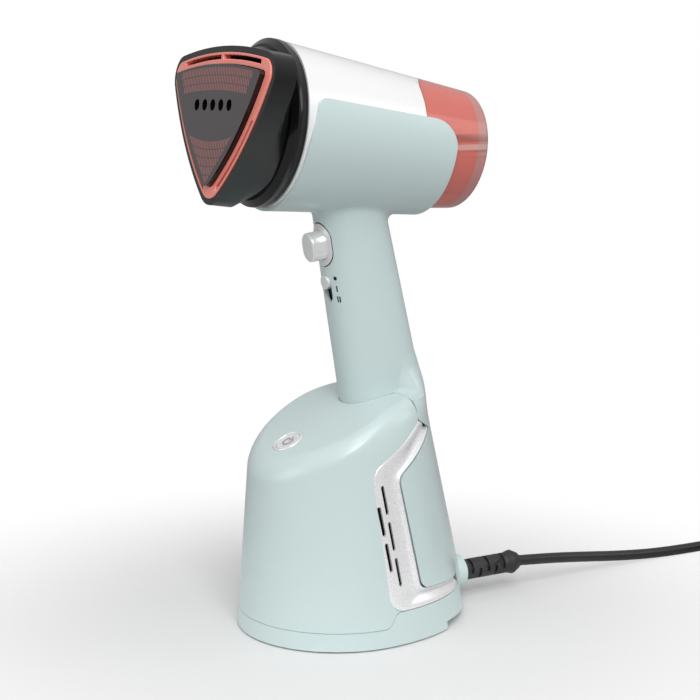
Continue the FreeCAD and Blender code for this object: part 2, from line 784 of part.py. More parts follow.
def make_bottom_shell():
    """The mint bottom, taller at the back, with a stepped underside."""
    region = rounded_prism(BOTTOM, BOTTOM_R, 0.0)
    outer = base_body().common(region)
    outer = outer.cut(Part.makeBox(200, 100, STEP_H, V(-100, STEP_Y, FOOT_H)))
    inside = base_body(SHELL_WALL)
    low = Part.makeBox(200, 400, 100, V(-100, STEP_Y - 3.0 - 400, FLOOR_TOP))
    high = Part.makeBox(200, 100, 100, V(-100, STEP_Y - 3.0, FLOOR_TOP + STEP_H))
    shell = outer.cut(inside.common(low)).cut(inside.common(high))
    shell = shell.cut(gland_block(SEAT_GAP))
    for x, y in BASE_POSTS_FRONT + BASE_POSTS_REAR:
        lift = STEP_H if y > STEP_Y else 0
        shell = shell.cut(Part.makeCylinder(1.7, 10, V(x, y, 0)))
        shell = shell.cut(Part.makeCylinder(3.6, 1.8, V(x, y, FOOT_H + lift)))
    return shell


SLOT_LEAN = 10.2
SLOT_LEN = 17.0
SLOT_HALF = 0.8
SLOT_STEP = 22.0
SLOTS_BACK = [(-0.4, 88.4), (3.6, 66.4), (7.6, 44.4)]
SLOTS_FRONT = [(-3.3, 76.2), (0.8, 54.2)]


def vent_slot(y, z, half, length):
    """One upright slot through the side wall, leaning with the trim."""
    block = Part.makeBox(80, 2 * half, length - 2 * half, V(30, -half, -length / 2 + half))
    low = Part.makeCylinder(half, 80, V(30, 0, -length / 2 + half), X_AXIS)
    top = Part.makeCylinder(half, 80, V(30, 0, length / 2 - half), X_AXIS)
    slot = block.fuse([low, top])
    return moved(turned(slot, SLOT_LEAN, X_AXIS), 0, y, z)


def make_vent_trim():
    """The right silver trim with its five slots."""
    wall = base_body().cut(base_body(SHELL_WALL))
    trim = wall.common(rounded_prism(TRIM, TRIM_R, 0.0))
    trim = trim.common(Part.makeBox(100, 200, 200, V(5, -100, 0)))
    trim = trim.cut(gland_block(SEAT_GAP)).cut(handle_solid(-SEAM))
    for y, z in SLOTS_BACK + SLOTS_FRONT:
        trim = trim.cut(vent_slot(y, z, SLOT_HALF, SLOT_LEN))
    return biggest(trim)


# ---------------------------------------------------------------------------
# Power button
# ---------------------------------------------------------------------------
def make_button_ring():
    """The silver ring round the power button."""
    ring = tube_ring(BUTTON_RING_R, BUTTON_R + RUN_GAP, -SHELL_WALL, SHELL_WALL + 0.8)
    return on_slope(ring)


def make_power_button():
    """The round button: a cap with a flange that keeps it in the ring."""
    cap = Part.makeCylinder(BUTTON_R, SHELL_WALL + 1.6, V(0, 0, -SHELL_WALL - 0.3))
    cap = cap.makeFillet(0.6, [cap.Edges[0]])
    flange = Part.makeCylinder(BUTTON_R + 1.6, 1.0, V(0, 0, -SHELL_WALL - 1.3))
    return on_slope(cap.fuse(flange))


BOARD_DROP = 9.0


def make_power_switch():
    """The small switch and its board under the power button."""
    board = Part.makeBox(32, 14, 1.6, V(-16, -7, -BOARD_DROP - 1.6))
    body = Part.makeBox(6, 6, 3.0, V(-3, -3, -BOARD_DROP))
    plunger = Part.makeCylinder(1.7, 0.6, V(0, 0, -BOARD_DROP + 3.0))
    return on_slope(board.fuse([body, plunger]))


# ---------------------------------------------------------------------------
# Trigger and mode slider
# ---------------------------------------------------------------------------
TRIGGER_FLANGE_Y = 5.4
DUCT_HALF_W = 13.5
DUCT_HALF_D = 10.0
DUCT_BACK = 4.0
DUCT_WALL = 1.5


def make_trigger_bezel():
    """The silver plate round the trigger, curved like the handle."""
    block = on_handle(stadium_block(BEZEL_HALF_W, BEZEL_HALF_H, -6, 8), TRIGGER_Z)
    plate = block.common(handle_solid(-0.7)).cut(handle_solid(SHELL_WALL))
    hole = stadium_block(TRIGGER_HALF_W + RUN_GAP, TRIGGER_HALF_H + RUN_GAP, -9, 12)
    return biggest(plate.cut(on_handle(hole, TRIGGER_Z)))


def make_trigger():
    """The steam trigger with its inner flange."""
    cap = stadium_block(TRIGGER_HALF_W, TRIGGER_HALF_H, -TRIGGER_OUT, TRIGGER_FLANGE_Y)
    front = [e for e in cap.Edges if e.BoundBox.YMax < -TRIGGER_OUT + 0.01]
    cap = cap.makeFillet(1.2, front)
    flange = stadium_block(
        TRIGGER_HALF_W + 1.4, TRIGGER_HALF_H + 1.4, TRIGGER_FLANGE_Y, TRIGGER_FLANGE_Y + 1.4)
    return on_handle(cap.fuse(flange), TRIGGER_Z)


SPRING_R = 2.4
SPRING_WIRE = 0.5
SPRING_UP = 4.5
SPRING_END_GAP = 2.3


def trigger_back():
    """Depth of the duct's front face behind the handle's front at the trigger."""
    return handle_depth(TRIGGER_Z) + DUCT_BACK - DUCT_HALF_D


def make_trigger_spring():
    """The coil spring behind the trigger."""
    start = TRIGGER_FLANGE_Y + 1.4 + SPRING_WIRE / 2 + 0.1
    length = trigger_back() - start - SPRING_WIRE / 2 - SPRING_END_GAP
    helix = Part.makeHelix(length / 6, length, SPRING_R)
    ring = Part.Wire([Part.Circle(V(SPRING_R, 0, 0), Y_AXIS, SPRING_WIRE / 2).toShape()])
    spring = Part.Wire(helix).makePipeShell([ring], True, True)
    spring = turned(spring, -90, X_AXIS)
    return on_handle(moved(spring, 0, start, SPRING_UP), TRIGGER_Z)


def make_trigger_switch():
    """The microswitch the trigger presses, on the duct's front."""
    back = trigger_back() - 0.3
    depth = back - TRIGGER_FLANGE_Y - 1.4 - TRIGGER_TRAVEL - RUN_GAP
    body = Part.makeBox(12.0, depth, 6.0, V(-6, back - depth, -8.0))
    return on_handle(body, TRIGGER_Z)


def make_slide_plate():
    """The dark plate behind the slider's slot."""
    plate = stadium_block(6.5, 11.5, SHELL_WALL + 0.9, SHELL_WALL + 2.3)
    slit = stadium_block(1.4, SLIDER_TRAVEL / 2 + 2.4, 0, 9)
    return on_handle(plate.cut(slit), SLIDER_Z)


SLIDER_HALF_W = SLIDER_SLOT_W / 2 - 0.3
SLIDER_REST = SLIDER_TRAVEL / 2


def make_mode_slider():
    """The thumb piece, at rest at the top of its slot."""
    thumb = stadium_block(SLIDER_HALF_W, SLIDER_HALF_W + 0.001, -1.8, SHELL_WALL + 0.7)
    stem = stadium_block(1.0, 2.0, SHELL_WALL + 0.7, SHELL_WALL + 5.6)
    return on_handle(moved(thumb.fuse(stem), 0, 0, SLIDER_REST), SLIDER_Z)


def make_slide_switch():
    """The three-position switch behind the plate."""
    start = SHELL_WALL + 2.5
    body = Part.makeBox(8.0, 5.4, 20.0, V(-4, start, -10))
    channel = stadium_block(1.5, SLIDER_TRAVEL / 2 + 2.5, start - 1, start + 3.8)
    return on_handle(body.cut(channel), SLIDER_Z)


# ---------------------------------------------------------------------------
# Inside the head
# ---------------------------------------------------------------------------
BLOCK_GROW = PLATE_GROW - 1.5
BLOCK_BACK = -22.0
BOSS_BACK = -12.0
PUMP_UP = 18.0
PUMP_R = 12.0
PUMP_START = 12.0
PUMP_END = 50.0
SOCKET_S = 56.0
SOCKET_T = 3.0
HEATER_R = 17.5
HEATER_ROD_R = 3.0
HEATER_SWEEP = 290
SOLE_SCREWS = [(38.0, 17.0), (-38.0, 17.0), (0.0, -33.2)]


def make_heating_block():
    """The cast block behind the soleplate, with a round boss."""
    block = delta_block(FACE_S + FRAME_DEPTH, BLOCK_BACK, BLOCK_GROW)
    boss = cone_y(28.0, 26.0, BLOCK_BACK, BOSS_BACK)
    block = block.fuse(boss)
    for x, z in SOLE_SCREWS:
        block = block.cut(Part.makeCylinder(1.7, 12, V(x, BLOCK_BACK - 10, z), Y_AXIS))
    return block


def make_soleplate_screws():
    """Three screws that hold the block to the soleplate."""
    screws = []
    for x, z in SOLE_SCREWS:
        shank = Part.makeCylinder(1.5, 8.0, V(x, BLOCK_BACK - 8.0, z), Y_AXIS)
        cap = Part.makeCylinder(2.8, 1.8, V(x, BLOCK_BACK, z), Y_AXIS)
        screws.append(shank.fuse(cap))
    return screws


def make_heater_element():
    """The bent sheathed heater on the back of the block, open at the top."""
    ring = Part.makeTorus(HEATER_R, HEATER_ROD_R, V(0, 0, 0), Y_AXIS, -180, 180, HEATER_SWEEP)
    ring = turned(ring, 180 - HEATER_SWEEP / 2, Y_AXIS)
    return moved(ring, 0, BOSS_BACK + HEATER_ROD_R, 0)


def make_thermostat():
    """The snap-action thermostat on the block."""
    disc = Part.makeCylinder(7.5, 4.0, V(0, BOSS_BACK, 0), Y_AXIS)
    return disc.fuse(Part.makeCylinder(5.0, 3.0, V(0, BOSS_BACK + 4.0, 0), Y_AXIS))


def make_thermal_fuse():
    """The one-shot fuse below the thermostat."""
    return Part.makeCylinder(1.8, 12.0, V(-6.0, BOSS_BACK + 1.9, -11.0), X_AXIS)


def make_heat_shield():
    """The pierced ring that keeps the block's heat out of the barrel."""
    ring = Part.makeCylinder(COLLAR_IN_R - 0.1, 1.6, V(0, -6.0, 0), Y_AXIS)
    ring = ring.cut(Part.makeCylinder(24.0, 3, V(0, -6.5, 0), Y_AXIS))
    for i in range(10):
        angle = math.radians(36 * i + 18)
        at = V(32 * math.cos(angle), -6.5, 32 * math.sin(angle))
        ring = ring.cut(Part.makeCylinder(4.2, 3, at, Y_AXIS))
    return ring


def make_water_pump():
    """The solenoid pump: coil, iron core and two nipples."""
    coil = Part.makeCylinder(PUMP_R, 22.0, V(0, PUMP_START + 8, PUMP_UP), Y_AXIS)
    core = Part.makeCylinder(6.0, PUMP_END - PUMP_START, V(0, PUMP_START, PUMP_UP), Y_AXIS)
    return coil.fuse(core)


def make_pump_cradle():
    """The rubber block that hangs the pump from the barrel cover."""
    block = Part.makeBox(14.0, 18.0, 34.0, V(-7.0, PUMP_START + 10, PUMP_UP))
    block = block.common(barrel_cone(BARREL_R, BARREL_TAPER, 0, 60, COVER_WALL + 0.1))
    return block.cut(Part.makeCylinder(PUMP_R + 0.1, 60, V(0, 0, PUMP_UP), Y_AXIS))


def straight_hose(start, end):
    """A short silicone hose on the pump's axis."""
    return tube_ring(3.4, 1.8, start, end - start, Y_AXIS, V(0, 0, PUMP_UP))


def make_tank_socket():
    """The bulkhead the tank plugs into."""
    disc = Part.makeCylinder(40.4, SOCKET_T, V(0, SOCKET_S, 0), Y_AXIS)
    disc = disc.common(barrel_cone(BARREL_R, BARREL_TAPER, 40, 70, COVER_WALL + 0.1))
    cup = Part.makeCylinder(9.0, 4.0, V(0, SOCKET_S - 4.0, PUMP_UP), Y_AXIS)
    seat = Part.makeCylinder(6.6, 6.0, V(0, SOCKET_S - 2.0, PUMP_UP), Y_AXIS)
    bore = Part.makeCylinder(1.8, 12.0, V(0, SOCKET_S - 5.0, PUMP_UP), Y_AXIS)
    return disc.fuse(cup).cut(seat).cut(bore)


# ---------------------------------------------------------------------------
# Tank
# ---------------------------------------------------------------------------
CAP_START = 120.5
TANK_WALL = 2.0


def tank_body(inset):
    """The tank's outside, or its hollow when inset by the wall."""
    start = 78.0
    flush = barrel_cone(BARREL_R, BARREL_TAPER, start, TANK_END - inset, inset)
    flush = flush.common(tongue_prism(SEAM + 0.1 + inset))
    nose = cone_y(NOSE_R - inset, NOSE_R - inset, NOSE_START + inset, 100.0)
    return flush.fuse(nose)


def make_water_tank():
    """The clear tank up to its end cap."""
    tank = tank_body(0).cut(tank_body(TANK_WALL))
    tank = tank.cut(Part.makeBox(200, 100, 200, V(-100, CAP_START, -100)))
    hole = Part.makeCylinder(4.2, 10, V(0, NOSE_START - 4, PUMP_UP), Y_AXIS)
    return tank.cut(hole)


def tank_filler(radius, start, end):
    """A cylinder on the filler's axis, on the tank's back face."""
    return Part.makeCylinder(radius, end - start, V(0, start, FILLER_UP), Y_AXIS)


FILLER_UP = 14.0


def make_tank_end_cap():
    """The welded cap on the tank's back, with the filler's hole."""
    block = tank_body(0)
    edges = []
    for edge in block.Edges:
        box = edge.BoundBox
        if box.YMin > TANK_END - 0.01 and box.YMax < TANK_END + 0.01:
            edges.append(edge)
    block = block.makeFillet(3.0, edges)
    cap = block.cut(tank_body(TANK_WALL))
    cap = cap.common(Part.makeBox(200, 100, 200, V(-100, CAP_START, -100)))
    return cap.cut(tank_filler(FILLER_R + 0.3, CAP_START, TANK_END + 5))


FILLER_DEPTH = 1.6
FILLER_HINGE_S = TANK_END + 0.9
FILLER_HINGE_UP = FILLER_UP - FILLER_R - 1.8


def make_filler_plug():
    """The round filler plug in the tank's back, with its hinge lug below."""
    plug = tank_filler(FILLER_R, TANK_END - FILLER_DEPTH, TANK_END + 0.5)
    grip = Part.makeBox(3.0, 2.2, 9.0, V(-1.5, TANK_END + 0.5, FILLER_UP - 4.5))
    lug = Part.makeBox(6.0, 1.2, 3.3, V(-3.0, FILLER_HINGE_S - 0.6, FILLER_HINGE_UP - 0.5))
    neck = Part.makeBox(6.0, 0.9, 3.0, V(-3.0, FILLER_HINGE_S - 0.5, FILLER_UP - FILLER_R - 1.0))
    return plug.fuse([grip, lug, neck])


def make_outlet_valve():
    """The valve in the tank's nose."""
    stem = Part.makeCylinder(4.0, 9.0, V(0, NOSE_START - 5.4, PUMP_UP), Y_AXIS)
    collar = Part.makeCylinder(7.0, 1.5, V(0, NOSE_START + TANK_WALL + 0.1, PUMP_UP), Y_AXIS)
    return stem.fuse(collar)


def make_valve_seal():
    """The ring that seals the valve in the socket."""
    return tube_ring(6.3, 4.05, NOSE_START - 5.0, 3.6, Y_AXIS, V(0, 0, PUMP_UP))


# ---------------------------------------------------------------------------
# Suction path and fan
# ---------------------------------------------------------------------------
HOUSING_Z = MOTOR_Z + MOTOR_H
HOUSING_TOP = 90.0
HOUSING_OUT_R = 46.0
INLET_R = 17.0
DUCT_TOP = 252.0


def duct_solid(inset):
    """The duct from the head down the handle to the fan's inlet."""
    wires = []
    stations = [
        (HOUSING_TOP, FAN_Y, INLET_R + DUCT_WALL, INLET_R + DUCT_WALL),
        (104.0, FAN_Y + 8.0, 16.5, 15.5),
        (122.0, handle_centre(122.0) - 9.0, 15.0, 12.5)]
    for z in (142.0, 170.0, 210.0, 236.0, DUCT_TOP):
        stations.append((z, handle_centre(z) + DUCT_BACK, DUCT_HALF_W, DUCT_HALF_D))
    for z, y, w, d in stations:
        wires.append(oval(z, y, w - inset, d - inset, 2.0))
    return Part.makeLoft(wires, True, False)


def make_suction_duct():
    """The thin-walled duct."""
    inner = duct_solid(DUCT_WALL)
    return duct_solid(0).cut(inner)


def make_fan_housing():
    """The round housing of the impeller, open at the top's middle and at two side outlets."""
    plate = tube_ring(HOUSING_OUT_R, BEARING_R + 2, HOUSING_Z, FAN_WALL)
    wall = tube_ring(HOUSING_OUT_R, HOUSING_OUT_R - FAN_WALL, HOUSING_Z, HOUSING_TOP - HOUSING_Z)
    lid = tube_ring(HOUSING_OUT_R, INLET_R, HOUSING_TOP - FAN_WALL, FAN_WALL)
    housing = plate.fuse([wall, lid])
    outlet = Part.makeBox(120, 24, 14, V(-60, -4, HOUSING_Z + FAN_WALL + 1))
    return moved(housing.cut(outlet), 0, FAN_Y, 0)


def make_impeller():
    """Backward-leaning blades between a hub plate and a shroud ring."""
    z = IMPELLER_Z
    plate = tube_ring(IMPELLER_R, SHAFT_R, z, 1.4)
    hub = tube_ring(7.0, SHAFT_R, z - 2.0, 10.0)
    shroud = tube_ring(IMPELLER_R, INLET_R + 1, z + IMPELLER_H - 1.2, 1.2)
    blades = []
    for i in range(BLADES):
        blade = Part.makeBox(25.0, 1.2, IMPELLER_H - 1.8, V(14.5, -0.6, z + 1.0))
        blade.rotate(V(14.5, 0, 0), Z_AXIS, 28)
        blade.rotate(V(0, 0, 0), Z_AXIS, 360 / BLADES * i)
        blades.append(blade)
    limit = Part.makeCylinder(IMPELLER_R, 60, V(0, 0, z - 10))
    return moved(plate.fuse([hub, shroud] + blades).common(limit), 0, FAN_Y, 0)


SHAFT_BOTTOM = MOTOR_Z + 3.0
ROTOR_R = 13.5
ROTOR_H = 18.0


def make_motor_shaft():
    """The motor's shaft with its rotor core."""
    shaft = Part.makeCylinder(SHAFT_R, IMPELLER_Z + 11.0 - SHAFT_BOTTOM, V(0, 0, SHAFT_BOTTOM))
    return moved(shaft, 0, FAN_Y, 0)


def make_motor_rotor():
    """The wound core pressed on the shaft."""
    return moved(tube_ring(ROTOR_R, SHAFT_R, MOTOR_Z + 12, ROTOR_H), 0, FAN_Y, 0)


def make_impeller_nut():
    """The nut that holds the impeller."""
    nut = Part.Face(Part.makePolygon([
        V(4.5 * math.cos(math.radians(60 * i)), 4.5 * math.sin(math.radians(60 * i)), 0)
        for i in range(7)])).extrude(V(0, 0, 2.6))
    nut.translate(V(0, 0, IMPELLER_Z + 8.0))
    return moved(nut.cut(Part.makeCylinder(SHAFT_R, 200)), 0, FAN_Y, 0)


def make_fan_motor():
    """The motor's can with its stator, open for the shaft at the top."""
    can = Part.makeCylinder(MOTOR_R, MOTOR_H, V(0, 0, MOTOR_Z))
    can = can.cut(Part.makeCylinder(MOTOR_R - 8, MOTOR_H - 20, V(0, 0, MOTOR_Z + 10)))
    can = can.cut(Part.makeCylinder(BEARING_R, 5.0, V(0, 0, MOTOR_Z + MOTOR_H - 5)))
    can = can.cut(Part.makeCylinder(BEARING_R, 5.0, V(0, 0, MOTOR_Z + 5)))
    can = can.cut(Part.makeCylinder(SHAFT_R + 0.6, MOTOR_H, V(0, 0, SHAFT_BOTTOM - 0.5)))
    return moved(can, 0, FAN_Y, 0)


def make_motor_bearings():
    """Two bearings in the motor's ends."""
    low = tube_ring(BEARING_R, SHAFT_R + SHAFT_FIT, MOTOR_Z + 5, 5.0)
    top = tube_ring(BEARING_R, SHAFT_R + SHAFT_FIT, MOTOR_Z + MOTOR_H - 5, 5.0)
    return [moved(low, 0, FAN_Y, 0), moved(top, 0, FAN_Y, 0)]


def make_motor_mount():
    """The rubber stand under the motor."""
    stand = tube_ring(MOTOR_R + 1.5, MOTOR_R - 6, FLOOR_TOP, MOTOR_Z - FLOOR_TOP)
    return moved(stand, 0, FAN_Y, 0)


# ---------------------------------------------------------------------------
# Electrics in the base
# ---------------------------------------------------------------------------
BOARD_Y = -48.5


def make_control_board():
    """The upright circuit board at the front."""
    return Part.makeBox(46, 1.6, 76, V(-23, BOARD_Y, FLOOR_TOP))


def make_board_parts():
    """Capacitors, relays and the heat sink on the board's back."""
    face = BOARD_Y + 1.6
    parts = []
    for x, z in ((-14, 20), (-2, 20)):
        parts.append(Part.makeCylinder(5.0, 14.0, V(x, face, z), Y_AXIS))
    for x, z in ((6, 14), (6, 34)):
        parts.append(Part.makeBox(13, 11, 16, V(x, face, z)))
    parts.append(Part.makeBox(18, 9, 20, V(-20, face, 36)))
    return parts


def make_terminal_block():
    """The terminal block for the mains lead."""
    block = Part.makeBox(14, 18, 11, V(-41, 22, FLOOR_TOP))
    for i in range(2):
        block = block.cut(Part.makeCylinder(2.0, 6, V(-37.5 + 7 * i, 27, FLOOR_TOP + 6)))
    return block


def make_cord_clamp():
    """The clamp that grips the mains cord behind the gland."""
    z = FLOOR_TOP + STEP_H
    block = Part.makeBox(18, 8, 15, V(-9, 52, z))
    return block.cut(Part.makeCylinder(CORD_D / 2, 20, V(0, 45, GLAND_Z), Y_AXIS))


def make_gland_boss():
    """The mint boss round the strain relief's root."""
    return gland_block().cut(Part.makeCylinder(CORD_D / 2, 60, V(0, GLAND_START - 10, GLAND_Z), Y_AXIS))


def make_strain_relief():
    """The ribbed rubber sleeve, flared at its end."""
    at = V(0, RELIEF_START, GLAND_Z)
    flare = 9.0
    sleeve = Part.makeCylinder(RELIEF_R, RELIEF_LEN - flare, at, Y_AXIS)
    neck = Part.makeCone(RELIEF_R, RELIEF_FLARE_R, flare / 2, at + Y_AXIS * (RELIEF_LEN - flare), Y_AXIS)
    tip = at + Y_AXIS * (RELIEF_LEN - flare / 2)
    end = Part.makeCone(RELIEF_FLARE_R, RELIEF_R - 1.0, flare / 2, tip, Y_AXIS)
    sleeve = sleeve.fuse([neck, end])
    for i in range(5):
        side = 1 if i % 2 == 0 else -1
        start = RELIEF_START + 3.5 + 6.2 * i
        ring = tube_ring(RELIEF_R + 1, CORD_D / 2 + 1.4, start, 2.2, Y_AXIS, V(0, 0, GLAND_Z))
        low = GLAND_Z - 1.5 if side > 0 else GLAND_Z + 1.5 - 30
        half = Part.makeBox(30, 100, 30, V(-15, RELIEF_START - 10, low))
        sleeve = sleeve.cut(ring.common(half))
    return sleeve.cut(Part.makeCylinder(CORD_D / 2, 80, V(0, RELIEF_START - 10, GLAND_Z), Y_AXIS))


def make_inner_lead():
    """The start of the mains cord, inside the clamp, the gland and the relief."""
    end = RELIEF_START + RELIEF_LEN
    return Part.makeCylinder(CORD_D / 2, end - 48.0, V(0, 48.0, GLAND_Z), Y_AXIS)


PAD_R = 44.0


def make_base_pad():
    """The flat rubber pad that the steamer stands on."""
    return Part.makeCylinder(PAD_R, FOOT_H)


def make_base_screws():
    """Four screws up through the bottom shell into the posts."""
    screws = []
    for x, y in BASE_POSTS_FRONT + BASE_POSTS_REAR:
        lift = FOOT_H + (STEP_H if y > STEP_Y else 0)
        cap = Part.makeCylinder(3.2, 1.5, V(x, y, lift + 0.2))
        shank = Part.makeCylinder(1.5, 12.0, V(x, y, lift + 1.7))
        screws.append(cap.fuse(shank))
    return screws


def make_shell_screws():
    """The screws that hold the two mint shells together."""
    return [s.common(Part.makeBox(2 * SHELL_SCREW_HALF, 400, 400, V(-SHELL_SCREW_HALF, -200, 0)))
            for s in screw_holes(SHELL_SCREW_R)]


# ---------------------------------------------------------------------------
# Free cord
# ---------------------------------------------------------------------------
def coil_radius(turn):
    """Radius of the centre line of a turn, counted from the inside."""
    return COIL_IN_R + CORD_D * turn


COIL_OUT_R = coil_radius(COIL_TURNS_WIDE - 1) + CORD_D / 2
COIL_H = CORD_D * (COIL_LAYERS - 1) + CORD_D


def make_cord_coil():
    """The outside shape of the stored coil."""
    ring = tube_ring(COIL_OUT_R, COIL_IN_R - CORD_D / 2, 0, COIL_H)
    return moved(ring, COIL_X, COIL_Y, 0)


def make_mains_cord():
    """The two free stretches of cord: to the coil and on to the plug."""
    stretches = []
    for name, route in (("lead", LEAD_ROUTE), ("tail", TAIL_ROUTE)):
        solid, path, radii = hose(route, CORD_D)
        print(name, "radii", [round(r, 1) for r in radii], "length", round(path.Length, 1))
        print(name, "volume ratio", round(solid.Volume / (math.pi * CORD_D ** 2 / 4 * path.Length), 4))
        stretches.append(solid.cut(make_cord_coil()))
    return stretches


PLUG_X = TAIL_ROUTE[-1][0]
PLUG_Y = TAIL_ROUTE[-1][1]
PLUG_Z = TAIL_ROUTE[-1][2]
PLUG_FLANGE = 8.0
PIN_ROOT = 6.0


def on_plug(shape):
    """Place a shape from the plug's frame, +X towards its pins, where the plug lies."""
    return moved(turned(shape, -PLUG_TILT, Y_AXIS), PLUG_X, PLUG_Y, PLUG_Z)


def make_plug_body():
    """The moulded plug, lying on its rim and its neck with the pins away from the coil."""
    neck = Part.makeCone(5.2, 8.5, 14.0, V(0, 0, 0), X_AXIS)
    grip = Part.makeCone(8.5, 14.0, PLUG_LEN - PLUG_FLANGE - 14.0, V(14.0, 0, 0), X_AXIS)
    face = Part.makeCylinder(PLUG_R, PLUG_FLANGE, V(PLUG_LEN - PLUG_FLANGE, 0, 0), X_AXIS)
    plug = neck.fuse([grip, face])
    for side in (-1, 1):
        root = V(PLUG_LEN - PIN_ROOT, 0, side * PIN_PITCH / 2)
        plug = plug.cut(Part.makeCylinder(PIN_R, PIN_ROOT, root, X_AXIS))
    return on_plug(plug)


def make_plug_pins():
    """The two round pins."""
    pins = []
    for side in (-1, 1):
        root = V(PLUG_LEN - PIN_ROOT, 0, side * PIN_PITCH / 2)
        pin = Part.makeCylinder(PIN_R, PIN_LEN + PIN_ROOT, root, X_AXIS)
        tip = [e for e in pin.Edges if e.BoundBox.XMin > PLUG_LEN + PIN_LEN - 0.1]
        pins.append(on_plug(pin.makeFillet(0.8, tip)))
    return pins


# ---------------------------------------------------------------------------
# Build every node
# ---------------------------------------------------------------------------
def main():
    """Write one STEP file for each piece."""
    save("soleplate", head(make_soleplate()))
    save("suction_frame", head(make_suction_frame()))
    save("head_housing", head(make_head_housing()))
    save("collar_ring", head(make_collar_ring()))
    save("barrel_cover", head(make_barrel_cover()))
    save("heating_block", head(make_heating_block()))
    save("soleplate_screws", [head(s) for s in make_soleplate_screws()])
    save("heater_element", head(make_heater_element()))
    save("thermostat", head(make_thermostat()))
    save("thermal_fuse", head(make_thermal_fuse()))
    save("heat_shield", head(make_heat_shield()))
    save("water_pump", head(make_water_pump()))
    save("pump_cradle", head(make_pump_cradle()))
    hoses = [straight_hose(BOSS_BACK, PUMP_START), straight_hose(PUMP_END, SOCKET_S - 4.0)]
    save("pump_hoses", [head(hose_piece) for hose_piece in hoses])
    save("tank_socket", head(make_tank_socket()))
    save("water_tank", head(make_water_tank()))
    save("tank_end_cap", head(make_tank_end_cap()))
    save("filler_plug", head(make_filler_plug()))
    save("outlet_valve", head(make_outlet_valve()))
    save("valve_seal", head(make_valve_seal()))
    right, left = make_body_shells()
    save("body_shell_right", right)
    save("body_shell_left", left)
    save("spine_cover", make_spine_cover())
    save("shell_screws", make_shell_screws())
    save("trigger_bezel", make_trigger_bezel())
    save("trigger_button", make_trigger())
    save("trigger_spring", make_trigger_spring())
    save("trigger_switch", make_trigger_switch())
    save("slide_plate", make_slide_plate())
    save("mode_slider", make_mode_slider())
    save("slide_switch", make_slide_switch())
    save("suction_duct", make_suction_duct())
    save("base_front_shell", make_base_front_shell())
    save("bottom_shell", make_bottom_shell())
    trim = make_vent_trim()
    save("vent_trim_right", trim)
    save("vent_trim_left", mirrored(trim))
    save("button_ring", make_button_ring())
    save("power_button", make_power_button())
    save("power_switch", make_power_switch())
    save("fan_motor", make_fan_motor())
    save("motor_bearings", make_motor_bearings())
    save("motor_shaft", make_motor_shaft())
    save("motor_rotor", make_motor_rotor())
    save("impeller", make_impeller())
    save("impeller_nut", make_impeller_nut())
    save("fan_housing", make_fan_housing())
    save("motor_mount", make_motor_mount())
    save("control_board", make_control_board())
    save("board_parts", make_board_parts())
    save("terminal_block", make_terminal_block())
    save("cord_clamp", make_cord_clamp())
    save("gland_boss", make_gland_boss())
    save("strain_relief", make_strain_relief())
    save("inner_lead", make_inner_lead())
    save("base_pad", make_base_pad())
    save("base_screws", make_base_screws())
    save("mains_cord", make_mains_cord())
    save("cord_coil", make_cord_coil())
    save("plug_body", make_plug_body())
    save("plug_pins", make_plug_pins())


main()
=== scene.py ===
"""The looks of a hand garment steamer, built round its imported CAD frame.

Shapes are worked out in millimetres in the object's frame and become metres when a mesh is made:
X to the right, Y back along the barrel, Z up, with the origin on the floor under the round base.
"""
import logging
import math
from dataclasses import dataclass
from enum import Enum
from typing import Any, Sequence

import bmesh
import bpy
import numpy as np
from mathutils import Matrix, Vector


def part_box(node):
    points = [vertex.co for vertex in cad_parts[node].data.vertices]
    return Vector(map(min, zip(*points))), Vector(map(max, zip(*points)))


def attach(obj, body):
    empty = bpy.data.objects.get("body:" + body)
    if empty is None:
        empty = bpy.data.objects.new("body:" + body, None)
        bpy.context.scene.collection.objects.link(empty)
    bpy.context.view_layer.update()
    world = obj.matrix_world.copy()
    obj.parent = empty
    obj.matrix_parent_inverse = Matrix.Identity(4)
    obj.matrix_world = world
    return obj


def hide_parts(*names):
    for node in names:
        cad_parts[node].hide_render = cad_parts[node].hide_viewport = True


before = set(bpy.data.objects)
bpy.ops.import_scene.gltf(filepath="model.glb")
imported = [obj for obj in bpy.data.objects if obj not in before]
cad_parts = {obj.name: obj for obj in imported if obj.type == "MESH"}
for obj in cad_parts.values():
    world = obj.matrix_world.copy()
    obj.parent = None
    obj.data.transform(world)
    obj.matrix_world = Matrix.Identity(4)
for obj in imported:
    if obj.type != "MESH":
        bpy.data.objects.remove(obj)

LOG = logging.getLogger("steamer")
MM = 0.001
ROOT = "root"
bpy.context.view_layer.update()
Colour = tuple[float, float, float]
HEAD_ORIGIN = (0.0, -44.9, 305.1)
HEAD_TILT = -7.4
PRISM_REACH = 110.0


